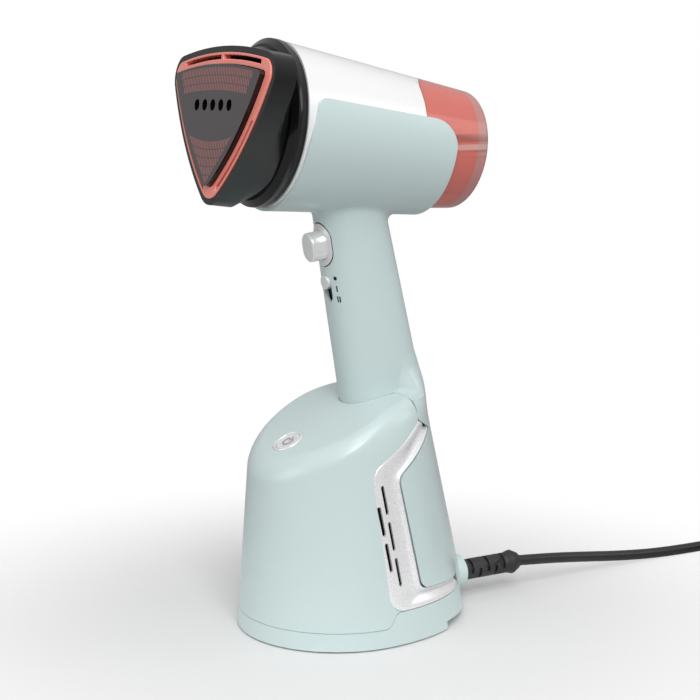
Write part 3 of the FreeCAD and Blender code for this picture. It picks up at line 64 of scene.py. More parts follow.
# ---------------------------------------------------------------------------
# Shader helpers
# ---------------------------------------------------------------------------
class Wire:
    """A shader socket that does arithmetic: each operator adds one Math node."""

    def __init__(self, box: "Paintbox", socket: bpy.types.NodeSocket) -> None:
        """Hold the socket and the material it belongs to."""
        self.box = box
        self.socket = socket

    def math(self, operation: str, *others: "Wire | float") -> "Wire":
        """Apply a Math node.

        Args:
            operation: The node's operation, such as "MULTIPLY".
            others: The second and third operands.

        Returns:
            The node's result.
        """
        values = {i: value for i, value in enumerate((self, *others))}
        return self.box.node("ShaderNodeMath", {"operation": operation}, values)

    def __add__(self, other: "Wire | float") -> "Wire":
        """Sum."""
        return self.math("ADD", other)

    def __radd__(self, other: float) -> "Wire":
        """Sum, reflected."""
        return self.math("ADD", other)

    def __mul__(self, other: "Wire | float") -> "Wire":
        """Product."""
        return self.math("MULTIPLY", other)

    def __rmul__(self, other: float) -> "Wire":
        """Product, reflected."""
        return self.math("MULTIPLY", other)

    def __sub__(self, other: "Wire | float") -> "Wire":
        """Difference."""
        return self.math("SUBTRACT", other)

    def __rsub__(self, other: float) -> "Wire":
        """Difference, reflected."""
        return (self * -1.0).math("ADD", other)

    def __truediv__(self, other: "Wire | float") -> "Wire":
        """Quotient."""
        return self.math("DIVIDE", other)

    def absolute(self) -> "Wire":
        """Size without its sign."""
        return self.math("ABSOLUTE")

    def over(self, level: float) -> "Wire":
        """One where the value is over level, else zero."""
        return self.math("GREATER_THAN", level)

    def under(self, level: float) -> "Wire":
        """One where the value is under level, else zero."""
        return self.math("LESS_THAN", level)

    def ramp(self, low: float, high: float, start: float = 0.0, end: float = 1.0) -> "Wire":
        """The value carried smoothly from one range to another, and held outside it.

        Args:
            low, high: The range that it comes from.
            start, end: The range that it goes to.

        Returns:
            The carried value.
        """
        settings = {"interpolation_type": "SMOOTHSTEP", "clamp": True}
        inputs = {0: self, 1: low, 2: high, 3: start, 4: end}
        return self.box.node("ShaderNodeMapRange", settings, inputs)


class Paintbox:
    """One material and the nodes in it."""

    def __init__(self, name: str) -> None:
        """Start a material that holds only a Principled shader.

        Args:
            name: Its name.
        """
        self.material = bpy.data.materials.new(name)
        self.material.use_nodes = True
        self.tree = self.material.node_tree
        self.shader = self.tree.nodes["Principled BSDF"]
        self._place: Wire | None = None

    def node(self, kind: str, settings: dict[str, Any], inputs: dict[Any, Any], output: Any = 0) -> Wire:
        """Add a node.

        Args:
            kind: Blender's node type.
            settings: The node's own settings, set before its sockets.
            inputs: Values or wires by socket name or number.
            output: Name or number of the output wanted.

        Returns:
            That output.
        """
        made = self.tree.nodes.new(kind)
        for key, value in settings.items():
            setattr(made, key, value)
        for key, value in inputs.items():
            if isinstance(value, Wire):
                self.tree.links.new(value.socket, made.inputs[key])
            else:
                made.inputs[key].default_value = value
        return Wire(self, made.outputs[output])

    def set(self, **values: Any) -> None:
        """Set sockets of the shader.

        Args:
            values: Numbers, colours or wires by socket name, with _ for a space.
        """
        for key, value in values.items():
            socket = self.shader.inputs[key.replace("_", " ")]
            if isinstance(value, Wire):
                self.tree.links.new(value.socket, socket)
            else:
                socket.default_value = value

    def place(self) -> Wire:
        """The point of the surface.

        Returns:
            The point, in metres in the object's frame.
        """
        if self._place is None:
            self._place = self.node("ShaderNodeTexCoord", {}, {}, "Object")
        return self._place

    def parts(self, vector: Wire) -> tuple[Wire, Wire, Wire]:
        """Take a vector apart.

        Args:
            vector: The vector.

        Returns:
            Its three numbers.
        """
        split = self.tree.nodes.new("ShaderNodeSeparateXYZ")
        self.tree.links.new(vector.socket, split.inputs[0])
        return tuple(Wire(self, split.outputs[i]) for i in range(3))

    def turned(self, origin: Sequence[float], degrees: float) -> Wire:
        """The surface's point in a frame of its own.

        Args:
            origin: The frame's origin (mm).
            degrees: Its turn about X.

        Returns:
            The point, in metres.
        """
        place = [value * MM for value in origin]
        settings = {"vector_type": "TEXTURE"}
        turn = (math.radians(degrees), 0.0, 0.0)
        inputs = {"Vector": self.place(), "Location": place, "Rotation": turn}
        return self.node("ShaderNodeMapping", settings, inputs)

    def noise(self, scale: float, detail: float = 2.0, stretch: Sequence[float] = (1, 1, 1)) -> Wire:
        """Noise from 0 to 1.

        Args:
            scale: Cells per metre.
            detail: Octaves of finer noise.
            stretch: Scale along each axis; a small one draws the noise out.

        Returns:
            The noise.
        """
        vector = self.place()
        if tuple(stretch) != (1, 1, 1):
            vector = self.node("ShaderNodeMapping", {}, {"Vector": vector, "Scale": stretch})
        return self.node("ShaderNodeTexNoise", {}, {"Vector": vector, "Scale": scale, "Detail": detail})

    def mix(self, factor: Wire, first: Any, second: Any) -> Wire:
        """A colour between two others.

        Args:
            factor: 0 gives the first, 1 the second.
            first, second: Colours or wires.

        Returns:
            The mixed colour.
        """
        def rgba(colour: Any) -> Any:
            """A colour with a full alpha, or the wire as it is."""
            return colour if isinstance(colour, Wire) else (*colour, 1.0)
        return self.node(
            "ShaderNodeMix", {"data_type": "RGBA"}, {0: factor, 6: rgba(first), 7: rgba(second)}, 2)

    def bump(self, height: Wire, strength: float, depth: float) -> Wire:
        """A normal from a height, depth metres deep."""
        return self.node("ShaderNodeBump", {}, {"Height": height, "Strength": strength, "Distance": depth})


def shade(colour: Colour, factor: float) -> Colour:
    """A colour made lighter or darker by factor."""
    return tuple(min(1.0, value * factor) for value in colour)


@dataclass(frozen=True)
class Moulded:
    """Injection-moulded plastic: a faint mottle in its colour, a fine spark-eroded grain."""

    name: str
    colour: Colour
    roughness: float = 0.35
    coat: float = 0.0
    grain: float = 0.12
    grain_size: float = 2600.0
    mottle: float = 0.03

    def make(self) -> bpy.types.Material:
        """Build the material.

        Returns:
            The material.
        """
        box = Paintbox(self.name)
        cloud = box.noise(14.0, 3.0)
        fine = box.noise(self.grain_size, 1.0)
        dark = shade(self.colour, 1 - self.mottle)
        light = shade(self.colour, 1 + self.mottle)
        box.set(
            Base_Color=box.mix(cloud, dark, light),
            Roughness=cloud.ramp(0.3, 0.7, self.roughness - 0.03, self.roughness + 0.03),
            Coat_Weight=self.coat,
            Coat_Roughness=0.12,
            Normal=box.bump(fine, self.grain, 0.00005),
        )
        return box.material


@dataclass(frozen=True)
class Pearl:
    """Pearl paint: a metallic base full of fine flakes under a clear coat."""

    name: str = "pearl"
    colour: Colour = (0.90, 0.90, 0.905)
    metallic: float = 0.2
    roughness: float = 0.3

    def make(self) -> bpy.types.Material:
        """Build the material.

        Returns:
            The material.
        """
        box = Paintbox(self.name)
        flake = box.node("ShaderNodeTexVoronoi", {}, {"Vector": box.place(), "Scale": 5200.0}, "Color")
        spark = box.parts(flake)[0]
        cloud = box.noise(20.0)
        box.set(
            Base_Color=box.mix(spark, shade(self.colour, 0.97), shade(self.colour, 1.03)),
            Metallic=self.metallic,
            Roughness=spark.ramp(0.0, 1.0, self.roughness - 0.03, self.roughness + 0.03) + cloud * 0.02,
            Coat_Weight=0.6,
            Coat_Roughness=0.1,
            Normal=box.bump(spark, 0.012, 0.00002),
        )
        return box.material


@dataclass(frozen=True)
class ClearCoral:
    """Tinted clear plastic with flow lines, and fine pale and dark streaks of painted reflection in a zone of
    heights (mm) on the barrel.
    """

    name: str = "clear_coral"
    colour: Colour = (0.93, 0.28, 0.235)
    transmission: float = 0.45
    roughness: float = 0.06
    painted_reflection_zone: tuple[float, float, float, float] = (-6.0, -1.0, 7.0, 11.0)
    painted_pale_reflection: Colour = (1.0, 0.78, 0.74)

    def make(self) -> bpy.types.Material:
        """Build the material.

        Returns:
            The material.
        """
        box = Paintbox(self.name)
        flow = box.noise(60.0, 2.0, (1.0, 0.08, 1.0))
        _, _, height = box.parts(box.turned(HEAD_ORIGIN, HEAD_TILT))
        height = height / MM
        fine = box.noise(420.0, 1.0, (0.02, 0.02, 1.0))
        low, full, fading, high = self.painted_reflection_zone
        band = height.ramp(low, full) * height.ramp(high, fading)
        tint = box.mix(flow, shade(self.colour, 0.88), shade(self.colour, 1.1))
        # Painted reflection: pale and dark streaks within the band of heights.
        tint = box.mix(fine.ramp(0.52, 0.62) * band * 0.55, tint, self.painted_pale_reflection)
        tint = box.mix(fine.ramp(0.46, 0.38) * band * 0.5, tint, shade(self.colour, 0.3))
        box.set(
            Base_Color=tint,
            Roughness=flow.ramp(0.3, 0.7, self.roughness, self.roughness + 0.05),
            Transmission_Weight=self.transmission,
            IOR=1.4,
            Normal=box.bump(flow, 0.05, 0.0002),
        )
        return box.material


@dataclass(frozen=True)
class Metal:
    """Turned, drawn or cast metal with fine scratches along one direction."""

    name: str
    colour: Colour = (0.62, 0.62, 0.64)
    roughness: float = 0.28
    stretch: tuple[float, float, float] = (1.0, 1.0, 0.05)
    wear: float = 0.12

    def make(self) -> bpy.types.Material:
        """Build the material.

        Returns:
            The material.
        """
        box = Paintbox(self.name)
        lines = box.noise(1500.0, 2.0, self.stretch)
        cloud = box.noise(60.0, 3.0)
        box.set(
            Base_Color=box.mix(cloud, shade(self.colour, 1 - self.wear), self.colour),
            Metallic=1.0,
            Roughness=lines.ramp(0.3, 0.7, self.roughness - 0.07, self.roughness + 0.1),
            Normal=box.bump(lines, 0.08, 0.00004),
        )
        return box.material


@dataclass(frozen=True)
class Rubbery:
    """Matte rubber or soft PVC with a dusty bloom."""

    name: str
    colour: Colour = (0.018, 0.018, 0.019)
    roughness: float = 0.5

    def make(self) -> bpy.types.Material:
        """Build the material.

        Returns:
            The material.
        """
        box = Paintbox(self.name)
        bloom = box.noise(90.0, 4.0)
        fine = box.noise(3000.0, 2.0)
        box.set(
            Base_Color=box.mix(bloom.ramp(0.45, 0.8), self.colour, shade(self.colour, 1.7)),
            Roughness=bloom.ramp(0.3, 0.7, self.roughness - 0.06, self.roughness + 0.08),
            Normal=box.bump(fine, 0.25, 0.00006),
        )
        return box.material


@dataclass(frozen=True)
class Windings:
    """Enamelled copper wire wound in tight rows along an axis."""

    name: str
    along: int = 2
    pitch_mm: float = 0.7
    colour: Colour = (0.62, 0.25, 0.09)

    def make(self) -> bpy.types.Material:
        """Build the material.

        Returns:
            The material.
        """
        box = Paintbox(self.name)
        step = box.parts(box.place())[self.along] / (self.pitch_mm * MM)
        row = (step.math("FRACT") - 0.5).absolute()
        # The wire's colour darkens to painted shade in the grooves between the turns.
        box.set(
            Base_Color=box.mix(row.ramp(0.2, 0.5), self.colour, shade(self.colour, 0.35)),
            Metallic=0.8,
            Roughness=0.3,
            Normal=box.bump(1.0 - row, 0.8, 0.0003),
        )
        return box.material


@dataclass(frozen=True)
class SolderMask:
    """A green circuit board with tinned pads in a square net and dark tracks."""

    name: str = "circuit_board"
    green: Colour = (0.012, 0.14, 0.045)
    pad: Colour = (0.7, 0.68, 0.62)
    net: float = 0.00254

    def make(self) -> bpy.types.Material:
        """Build the material.

        Returns:
            The material.
        """
        box = Paintbox(self.name)
        x, _, z = box.parts(box.place())
        across = ((x / self.net).math("FRACT") - 0.5).absolute()
        up = ((z / self.net).math("FRACT") - 0.5).absolute()
        dots = (across.math("MAXIMUM", up)).under(0.16)
        tracks = box.noise(220.0, 0.0, (1.0, 1.0, 0.15)).over(0.52)
        base = box.mix(tracks, self.green, shade(self.green, 1.6))
        box.set(
            Base_Color=box.mix(dots, base, self.pad),
            Metallic=dots * 0.9,
            Roughness=0.35,
        )
        return box.material


@dataclass(frozen=True)
class SoleCoating:
    """The dark ceramic coat of the soleplate, with printed coral dashes.

    In the face's own frame, in millimetres: three arched bands (low, high, half width) of short
    upright dashes above the steam holes, and arched rows below them in a triangle that narrows
    to the tip. An arch adds or takes off its factor times X squared.
    """

    name: str = "sole_coating"
    colour: Colour = (0.070, 0.061, 0.063)
    dash: Colour = (0.45, 0.15, 0.135)
    bands: tuple[tuple[float, float, float], ...] = (
        (23.7, 27.8, 47.0), (19.2, 23.2, 44.5), (14.9, 18.7, 42.0))
    band_arch: float = 0.0013
    pitch: float = 2.1
    half_dash: float = 0.21
    tip: float = -38.0
    row_arch: float = 0.0039
    row_pitch: float = 4.84
    half_row: float = 0.44
    top_row: float = 24.2
    flank: float = 1.06

    def make(self) -> bpy.types.Material:
        """Build the material.

        Returns:
            The material.
        """
        box = Paintbox(self.name)
        x, _, z = box.parts(box.turned(HEAD_ORIGIN, HEAD_TILT))
        x, z = x / MM, z / MM
        arch = z + x * x * self.band_arch
        tick = ((x / self.pitch).math("FRACT") - 0.5).absolute().under(self.half_dash)
        rise = z - x * x * self.row_arch - self.tip
        row = ((rise / self.row_pitch).math("FRACT") - 0.5).absolute().under(self.half_row)
        edge = (x.absolute() - (z - self.tip) * self.flank).under(0.0)
        inside = edge * rise.over(0.0) * rise.under(self.top_row) * row
        for low, high, half in self.bands:
            here = x.absolute().under(half) * arch.over(low) * arch.under(high)
            inside = inside.math("MAXIMUM", here)
        marks = inside * tick
        cloud = box.noise(30.0, 3.0)
        speck = box.noise(2600.0, 1.0)
        base = box.mix(cloud, shade(self.colour, 0.92), shade(self.colour, 1.08))
        box.set(
            Base_Color=box.mix(marks, base, self.dash),
            Metallic=0.25,
            Roughness=speck.ramp(0.3, 0.7, 0.3, 0.38),
            Coat_Weight=0.3,
            Coat_Roughness=0.15,
            Normal=box.bump(speck, 0.05, 0.00003),
        )
        return box.material


class Finish(Enum):
    """Every finish on the object, by what it is used for."""

    MINT = Moulded("mint_shell", (0.545, 0.655, 0.650), 0.32, 0.25, 0.05)
    PEARL = Pearl()
    BLACK = Moulded("satin_black", (0.006, 0.0065, 0.0065), 0.24, 0.0, 0.1, 2200.0, 0.1)
    GLOSS = Moulded("gloss_black", (0.004, 0.004, 0.0045), 0.13, 0.0, 0.02)
    SOLE = SoleCoating()
    SIGN = Moulded("symbol_print", (0.2, 0.2, 0.21), 0.4)
    TRIM = Pearl("vent_silver", (0.87, 0.87, 0.88), 0.35, 0.28)
    WHITE = Moulded("white_trim", (0.84, 0.845, 0.85), 0.22, 0.5, 0.03)
    SATIN = Pearl("satin_silver", (0.82, 0.82, 0.825), 0.35, 0.3)
    CORAL = Moulded("coral_frame", (0.88, 0.27, 0.21), 0.25, 0.4, 0.05)
    TANK = ClearCoral()
    TANK_CAP = ClearCoral("clear_cap", (0.80, 0.42, 0.39), 0.5)
    STEEL = Metal("plated_steel")
    CAST = Metal("die_cast", (0.5, 0.5, 0.5), 0.45, (1.0, 1.0, 1.0), 0.25)
    COPPER = Windings("pump_coil", 1)
    ROTOR = Windings("rotor_core", 2)
    RUBBER = Rubbery("black_rubber")
    CORD = Rubbery("cord_jacket", (0.014, 0.014, 0.015), 0.36)
    SILICONE = Rubbery("milky_silicone", (0.62, 0.62, 0.6), 0.4)
    NATURAL = Moulded("unpainted_nylon", (0.62, 0.6, 0.54), 0.45)
    DARK = Moulded("dark_moulding", (0.03, 0.03, 0.033), 0.45)
    BOARD = SolderMask()


MADE: dict[Finish, bpy.types.Material] = {}


def material_of(finish: Finish) -> bpy.types.Material:
    """The material of a finish, made once.

    Args:
        finish: The finish.

    Returns:
        Its material.
    """
    if finish not in MADE:
        MADE[finish] = finish.value.make()
    return MADE[finish]


# ---------------------------------------------------------------------------
# Points and meshes
# ---------------------------------------------------------------------------
def unit(vectors: np.ndarray) -> np.ndarray:
    """Vectors made one long."""
    return vectors / np.maximum(np.linalg.norm(vectors, axis=-1, keepdims=True), 1e-9)


def rounded_line(points: Sequence[tuple[float, float]], radii: Sequence[float], steps: int = 8) -> np.ndarray:
    """An open line of straight runs whose inner corners are arcs.

    Each corner is cut back by radius times the tangent of half its turn, and the arc turns
    evenly about the centre that lies radius off both runs.

    Args:
        points: The corners, with both ends.
        radii: One radius for each inner corner.
        steps: Points along each arc.

    Returns:
        The line's points, in order.
    """
    corners = np.array(points, float)
    made = [corners[:1]]
    for before, here, after, radius in zip(corners, corners[1:], corners[2:], radii):
        back, on = unit(before - here), unit(after - here)
        half = math.acos(float(np.clip(back @ on, -1, 1))) / 2
        if radius == 0:
            made.append(here[None])
            continue
        centre = here + unit(back + on) * radius / math.sin(half)
        start = here + back * radius / math.tan(half) - centre
        end = here + on * radius / math.tan(half) - centre
        share = np.linspace(0, 1, steps)[:, None]
        made.append(centre + unit(start * (1 - share) + end * share) * radius)
    made.append(corners[-1:])
    return np.concatenate(made)


def natural_spline(knots: Sequence[float], values: np.ndarray, at: np.ndarray) -> np.ndarray:
    """The smoothest curve through some values: cubic runs whose slope and bend agree at each knot.

    Args:
        knots: Where the values stand, rising.
        values: The values.
        at: Where the curve is wanted.

    Returns:
        The curve there. It has no bend at its two ends.
    """
    x = np.array(knots, float)
    y = np.array(values, float)
    gap = np.diff(x)
    count = len(x)
    system = np.eye(count)
    right = np.zeros(count)
    inner = np.arange(1, count - 1)
    system[inner, inner - 1] = gap[:-1]
    system[inner, inner] = 2 * (gap[:-1] + gap[1:])
    system[inner, inner + 1] = gap[1:]
    right[inner] = 6 * (np.diff(y)[1:] / gap[1:] - np.diff(y)[:-1] / gap[:-1])
    bend = np.linalg.solve(system, right)
    k = np.clip(np.searchsorted(x, at) - 1, 0, count - 2)
    a, b, h = x[k + 1] - at, at - x[k], gap[k]
    cubic = (bend[k] * a ** 3 + bend[k + 1] * b ** 3) / (6 * h)
    return cubic + (y[k] / h - bend[k] * h / 6) * a + (y[k + 1] / h - bend[k + 1] * h / 6) * b


def smooth_max(first: np.ndarray, second: np.ndarray, width: float) -> np.ndarray:
    """The larger of two values, rounded over width where they are near each other."""
    near = np.maximum(width - np.abs(first - second), 0) / width
    return np.maximum(first, second) + near * near * width / 4


def eased(share: Any) -> Any:
    """A share from 0 to 1 with a soft start and end: three times its square less twice its cube."""
    return share * share * (3 - 2 * share)


def halving(wrong: Any, low: np.ndarray, high: np.ndarray, rounds: int = 40) -> np.ndarray:
    """Where a rising function crosses zero, by halving the bracket.

    Args:
        wrong: The function, on whole arrays.
        low, high: The bracket.
        rounds: How many times it is halved.

    Returns:
        The crossing.
    """
    low, high = low.astype(float), high.astype(float)
    for _ in range(rounds):
        middle = (low + high) / 2
        over = wrong(middle) > 0
        high = np.where(over, middle, high)
        low = np.where(over, low, middle)
    return (low + high) / 2


@dataclass(frozen=True)
class Place:
    """A frame at origin (mm), turned by degrees about X."""

    origin: tuple[float, float, float]
    degrees: float

    def put(self, points: np.ndarray) -> np.ndarray:
        """Carry points of this frame to the object's frame: turn about X, then add the origin.

        Args:
            points: Points of this frame.

        Returns:
            The same points in the object's frame.
        """
        turn = math.radians(self.degrees)
        c, s = math.cos(turn), math.sin(turn)
        x, y, z = points[..., 0], points[..., 1], points[..., 2]
        return np.stack([x, y * c - z * s, y * s + z * c], -1) + np.array(self.origin)


ACROSS = np.array([-1.0, 1.0, 1.0])


class Skin:
    """Grids of points, in millimetres, gathered into one mesh."""

    def __init__(self) -> None:
        """Start with nothing."""
        self.points: list[np.ndarray] = []
        self.faces: list[np.ndarray] = []
        self.count = 0

    def add(self, grid: np.ndarray, round_columns: bool = False) -> "Skin":
        """Add a grid of points.

        Args:
            grid: Rows by columns by three.
            round_columns: The last column joins the first.

        Returns:
            The skin, so that calls can follow each other.
        """
        if round_columns:
            grid = np.concatenate([grid, grid[:, :1]], 1)
        rows, columns = grid.shape[:2]
        i, j = np.meshgrid(np.arange(rows - 1), np.arange(columns - 1), indexing="ij")
        a = self.count + i * columns + j
        quads = np.stack([a, a + 1, a + columns + 1, a + columns], -1)
        self.points.append(grid.reshape(-1, 3))
        self.faces.append(quads.reshape(-1, 4))
        self.count += rows * columns
        return self

    def mirror(self) -> "Skin":
        """Add the other side of the plane of symmetry: every X changes its sign.

        Returns:
            The skin, with both sides.
        """
        self.points.append(np.concatenate(self.points) * ACROSS)
        self.faces.append(np.concatenate(self.faces)[:, ::-1] + self.count)
        self.count *= 2
        return self

    def flipped(self) -> "Skin":
        """Make the same skin on the other side of the plane of symmetry.

        Returns:
            A new skin.
        """
        other = Skin()
        other.points = [points * ACROSS for points in self.points]
        other.faces = [faces[:, ::-1] for faces in self.faces]
        other.count = self.count
        return other

    def mesh(self, name: str, facing: Sequence[float] = (1, 0, 0), weld: float = 0.02) -> bpy.types.Mesh:
        """Make the mesh: near points are joined and every island faces outwards.

        Args:
            name: The mesh's name.
            facing: The face furthest this way looks this way.
            weld: Points nearer than this (mm) become one.

        Returns:
            The mesh, in metres.
        """
        mesh = bpy.data.meshes.new(name)
        points = np.concatenate(self.points) * MM
        faces = np.concatenate(self.faces)
        mesh.from_pydata(points.tolist(), [], faces.tolist())
        build = bmesh.new()
        build.from_mesh(mesh)
        bmesh.ops.remove_doubles(build, verts=build.verts, dist=weld * MM)
        bmesh.ops.dissolve_degenerate(build, edges=build.edges, dist=weld * MM * 0.5)
        bmesh.ops.recalc_face_normals(build, faces=build.faces)
        turn_outwards(build, Vector(facing))
        build.to_mesh(mesh)
        build.free()
        return mesh


def turn_outwards(build: bmesh.types.BMesh, way: Vector) -> None:
    """Flip each island of faces whose furthest face doesn't look the way that it lies.

    Args:
        build: The mesh.
        way: The direction that furthest is measured along.
    """
    seen: set[int] = set()
    build.faces.ensure_lookup_table()
    for start in build.faces:
        if start.index in seen:
            continue
        seen.add(start.index)
        island, queue = [start], [start]
        while queue:
            for edge in queue.pop().edges:
                for face in edge.link_faces:
                    if face.index not in seen:
                        seen.add(face.index)
                        island.append(face)
                        queue.append(face)
        furthest = max(island, key=lambda face: face.calc_center_median().dot(way))
        if furthest.normal.dot(way) < 0:
            bmesh.ops.reverse_faces(build, faces=island)


@dataclass
class Piece:
    """One finished piece: how its mesh is walled, rounded, dressed and carried."""

    name: str
    finish: Finish
    slot: str
    body: str = ROOT
    replaces: tuple[str, ...] = ()
    wall: float = 0.0
    edge: float = 0.0
    edge_steps: int = 2
    sharp: float = 32.0
    extra: tuple[Finish, ...] = ()

    def finish_off(self, mesh: bpy.types.Mesh) -> bpy.types.Object:
        """Dress a mesh and hang it on its body.

        Args:
            mesh: The bare surface, facing outwards.

        Returns:
            The piece.
        """
        piece = bpy.data.objects.new(self.name, mesh)
        bpy.context.scene.collection.objects.link(piece)
        for finish in (self.finish, *self.extra):
            mesh.materials.append(material_of(finish))
        if self.wall:
            solidify = piece.modifiers.new("wall", "SOLIDIFY")
            solidify.thickness = self.wall * MM
            solidify.offset = -1.0
        if self.edge:
            bevel = piece.modifiers.new("edges", "BEVEL")
            bevel.width = self.edge * MM
            bevel.segments = self.edge_steps
            bevel.angle_limit = math.radians(40)
            bevel.use_clamp_overlap = True
        mesh.polygons.foreach_set("use_smooth", np.ones(len(mesh.polygons), bool))
        mesh.set_sharp_from_angle(angle=math.radians(self.sharp))
        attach(piece, self.body)
        if self.replaces:
            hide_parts(*self.replaces)
        LOG.info("%s: %d faces", self.name, len(mesh.polygons))
        return piece


def settled(piece: bpy.types.Object) -> bpy.types.Object:
    """Apply a piece's modifiers to its mesh.

    Args:
        piece: The piece.

    Returns:
        The same piece.
    """
    bpy.context.view_layer.update()
    view = bpy.context.evaluated_depsgraph_get()
    mesh = bpy.data.meshes.new_from_object(piece.evaluated_get(view))
    piece.modifiers.clear()
    piece.data = mesh
    return piece


def carve(piece: bpy.types.Object, tool: bpy.types.Mesh) -> bpy.types.Object:
    """Cut a closed tool out of a piece, and drop the tool.

    Args:
        piece: The piece.
        tool: A closed mesh.

    Returns:
        The same piece.
    """
    cutter = bpy.data.objects.new("cutter", tool)
    bpy.context.scene.collection.objects.link(cutter)
    boolean = piece.modifiers.new("cut", "BOOLEAN")
    boolean.operation = "DIFFERENCE"
    boolean.solver = "EXACT"
    boolean.object = cutter
    settled(piece)
    bpy.data.objects.remove(cutter)
    return piece


def soften(piece: bpy.types.Object, width: float, steps: int = 2, degrees: float = 40.0) -> bpy.types.Object:
    """Round the sharp edges of a piece that was carved.

    Args:
        piece: The piece.
        width: The rounding's width (mm).
        steps: Faces across it.
        degrees: Edges that turn less than this stay as they are.

    Returns:
        The same piece.
    """
    bevel = piece.modifiers.new("edges", "BEVEL")
    bevel.width = width * MM
    bevel.segments = steps
    bevel.angle_limit = math.radians(degrees)
    bevel.use_clamp_overlap = True
    piece.data.set_sharp_from_angle(angle=math.radians(32))
    return piece


SLOPE = Place((0.0, -35.3, 117.2), 27.5)
SLOPE_END_Y = 27.0
SLOPE_BEND_Y = -5.0
SLOPE_BEND = 0.0056


def slope_height(y: np.ndarray | float) -> Any:
    """Height of the sloped top at Y: straight, less the square of the way behind the bend's start."""
    straight = SLOPE.origin[2] + (y - SLOPE.origin[1]) * math.tan(math.radians(SLOPE.degrees))
    return straight - SLOPE_BEND * np.maximum(y - SLOPE_BEND_Y, 0) ** 2


SLOPE_END_Z = float(slope_height(SLOPE_END_Y))


# ---------------------------------------------------------------------------
# The round base
# ---------------------------------------------------------------------------
# Centre in Y, half width, front depth and rear depth at the floor, and what each loses per mm of
# height. The first of BASE_ROWS is where those straight walls end.
FLOOR_SIZES = (0.0, 62.0, 63.5, 83.8)
DRAFTS = (0.0, 0.07, 0.07, 0.2365)
BASE_Z = (118.0, 130.0, 140.0, 150.0, 158.0)
BASE_ROWS = np.array([
    (0.0, 53.74, 55.24, 55.89),
    (3.0, 51.2, 56.0, 51.0),
    (11.0, 44.5, 50.0, 42.5),
    (22.0, 29.5, 25.0, 31.0),
    (26.0, 20.0, 22.0, 26.0),
])


def base_sizes(z: np.ndarray) -> list[np.ndarray]:
    """Centre in Y, half width, front depth and rear depth of the base's egg.

    Up to the shoulder each size at the floor shrinks by its draft times the height. Above it
    each one follows a natural spline through BASE_ROWS.

    Args:
        z: Heights.

    Returns:
        The four sizes at each height.
    """
    low = np.minimum(z, BASE_Z[0])
    straight = [size - draft * low for size, draft in zip(FLOOR_SIZES, DRAFTS)]
    curved = [natural_spline(BASE_Z, BASE_ROWS[:, k], np.clip(z, *BASE_Z[::4])) for k in range(4)]
    return [np.where(z > BASE_Z[0], up, flat) for up, flat in zip(curved, straight)]


def base_point(angle: np.ndarray, z: np.ndarray) -> np.ndarray:
    """A point of the base: x = width cos, y = centre + (front or rear depth) sin.

    Args:
        angle: From +X towards +Y.
        z: Height.

    Returns:
        The points.
    """
    centre, width, front, rear = base_sizes(z)
    depth = np.where(np.sin(angle) < 0, front, rear)
    return np.stack([width * np.cos(angle), centre + depth * np.sin(angle), z], -1)


def base_angle(y: np.ndarray, z: np.ndarray) -> np.ndarray:
    """The angle at which the base's right side has this Y: the arc sine of its share of the depth.

    Args:
        y: Y, in front of or behind the centre.
        z: Height.

    Returns:
        The angle.
    """
    centre, _, front, rear = base_sizes(z)
    depth = np.where(y < centre, front, rear)
    return np.arcsin(np.clip((y - centre) / depth, -1, 1))


def base_side(line: np.ndarray, out: np.ndarray | float = 0.0) -> np.ndarray:
    """A line drawn in side view, laid on the base's right side and moved out along its normal.

    Args:
        line: Points (Y, Z).
        out: How far out each one goes.

    Returns:
        The points.
    """
    y, z = line[..., 0], line[..., 1]
    centre, width, front, rear = base_sizes(z)
    angle = base_angle(y, z)
    depth = np.where(y < centre, front, rear)
    normal = unit(np.stack([np.cos(angle) / width, np.sin(angle) / depth, 0 * z + 0.0012], -1))
    return base_point(angle, z) + normal * np.asarray(out)[..., None]


@dataclass(frozen=True)
class Handle:
    """The handle's outside: a super-ellipse about an axis that leans back as it goes down (mm)."""

    half_width: float = 20.0
    half_depth: float = 24.1
    growth: float = 0.0437
    axis_y: float = 17.3
    lean: float = 0.2015
    at_z: float = 200.7
    power: float = 2.35

    def axis(self, z: np.ndarray) -> np.ndarray:
        """Y of the axis at height z."""
        return self.axis_y + self.lean * (self.at_z - z)

    def depth(self, z: np.ndarray) -> np.ndarray:
        """Half the handle's depth at height z."""
        return self.half_depth + self.growth * (self.at_z - z)

    def point(self, angle: np.ndarray, z: np.ndarray, grow: np.ndarray | float = 0.0) -> np.ndarray:
        """A point at an angle about the axis.

        Cosine and sine keep their sign and are raised to two over the power, then scaled by the
        half width and the half depth.

        Args:
            angle: From +X towards +Y.
            z: Height.
            grow: How far outside the handle's own surface.

        Returns:
            The points.
        """
        c, s = np.cos(angle), np.sin(angle)
        x = (self.half_width + grow) * np.sign(c) * np.abs(c) ** (2 / self.power)
        out = (self.depth(z) + grow) * np.sign(s) * np.abs(s) ** (2 / self.power)
        return np.stack([x, self.axis(z) + out, z], -1)

    def front(self, x: np.ndarray, z: np.ndarray, proud: float) -> np.ndarray:
        """Points of the front: Y is the axis less the depth times (1 - |x / width|^power)^(1 / power).

        Args:
            x: Across.
            z: Height.
            proud: How far the points stand out in front.

        Returns:
            The points.
        """
        bend = (1 - np.abs(x / self.half_width) ** self.power) ** (1 / self.power)
        return np.stack([x, self.axis(z) - self.depth(z) * bend - proud, z], -1)


HANDLE = Handle()


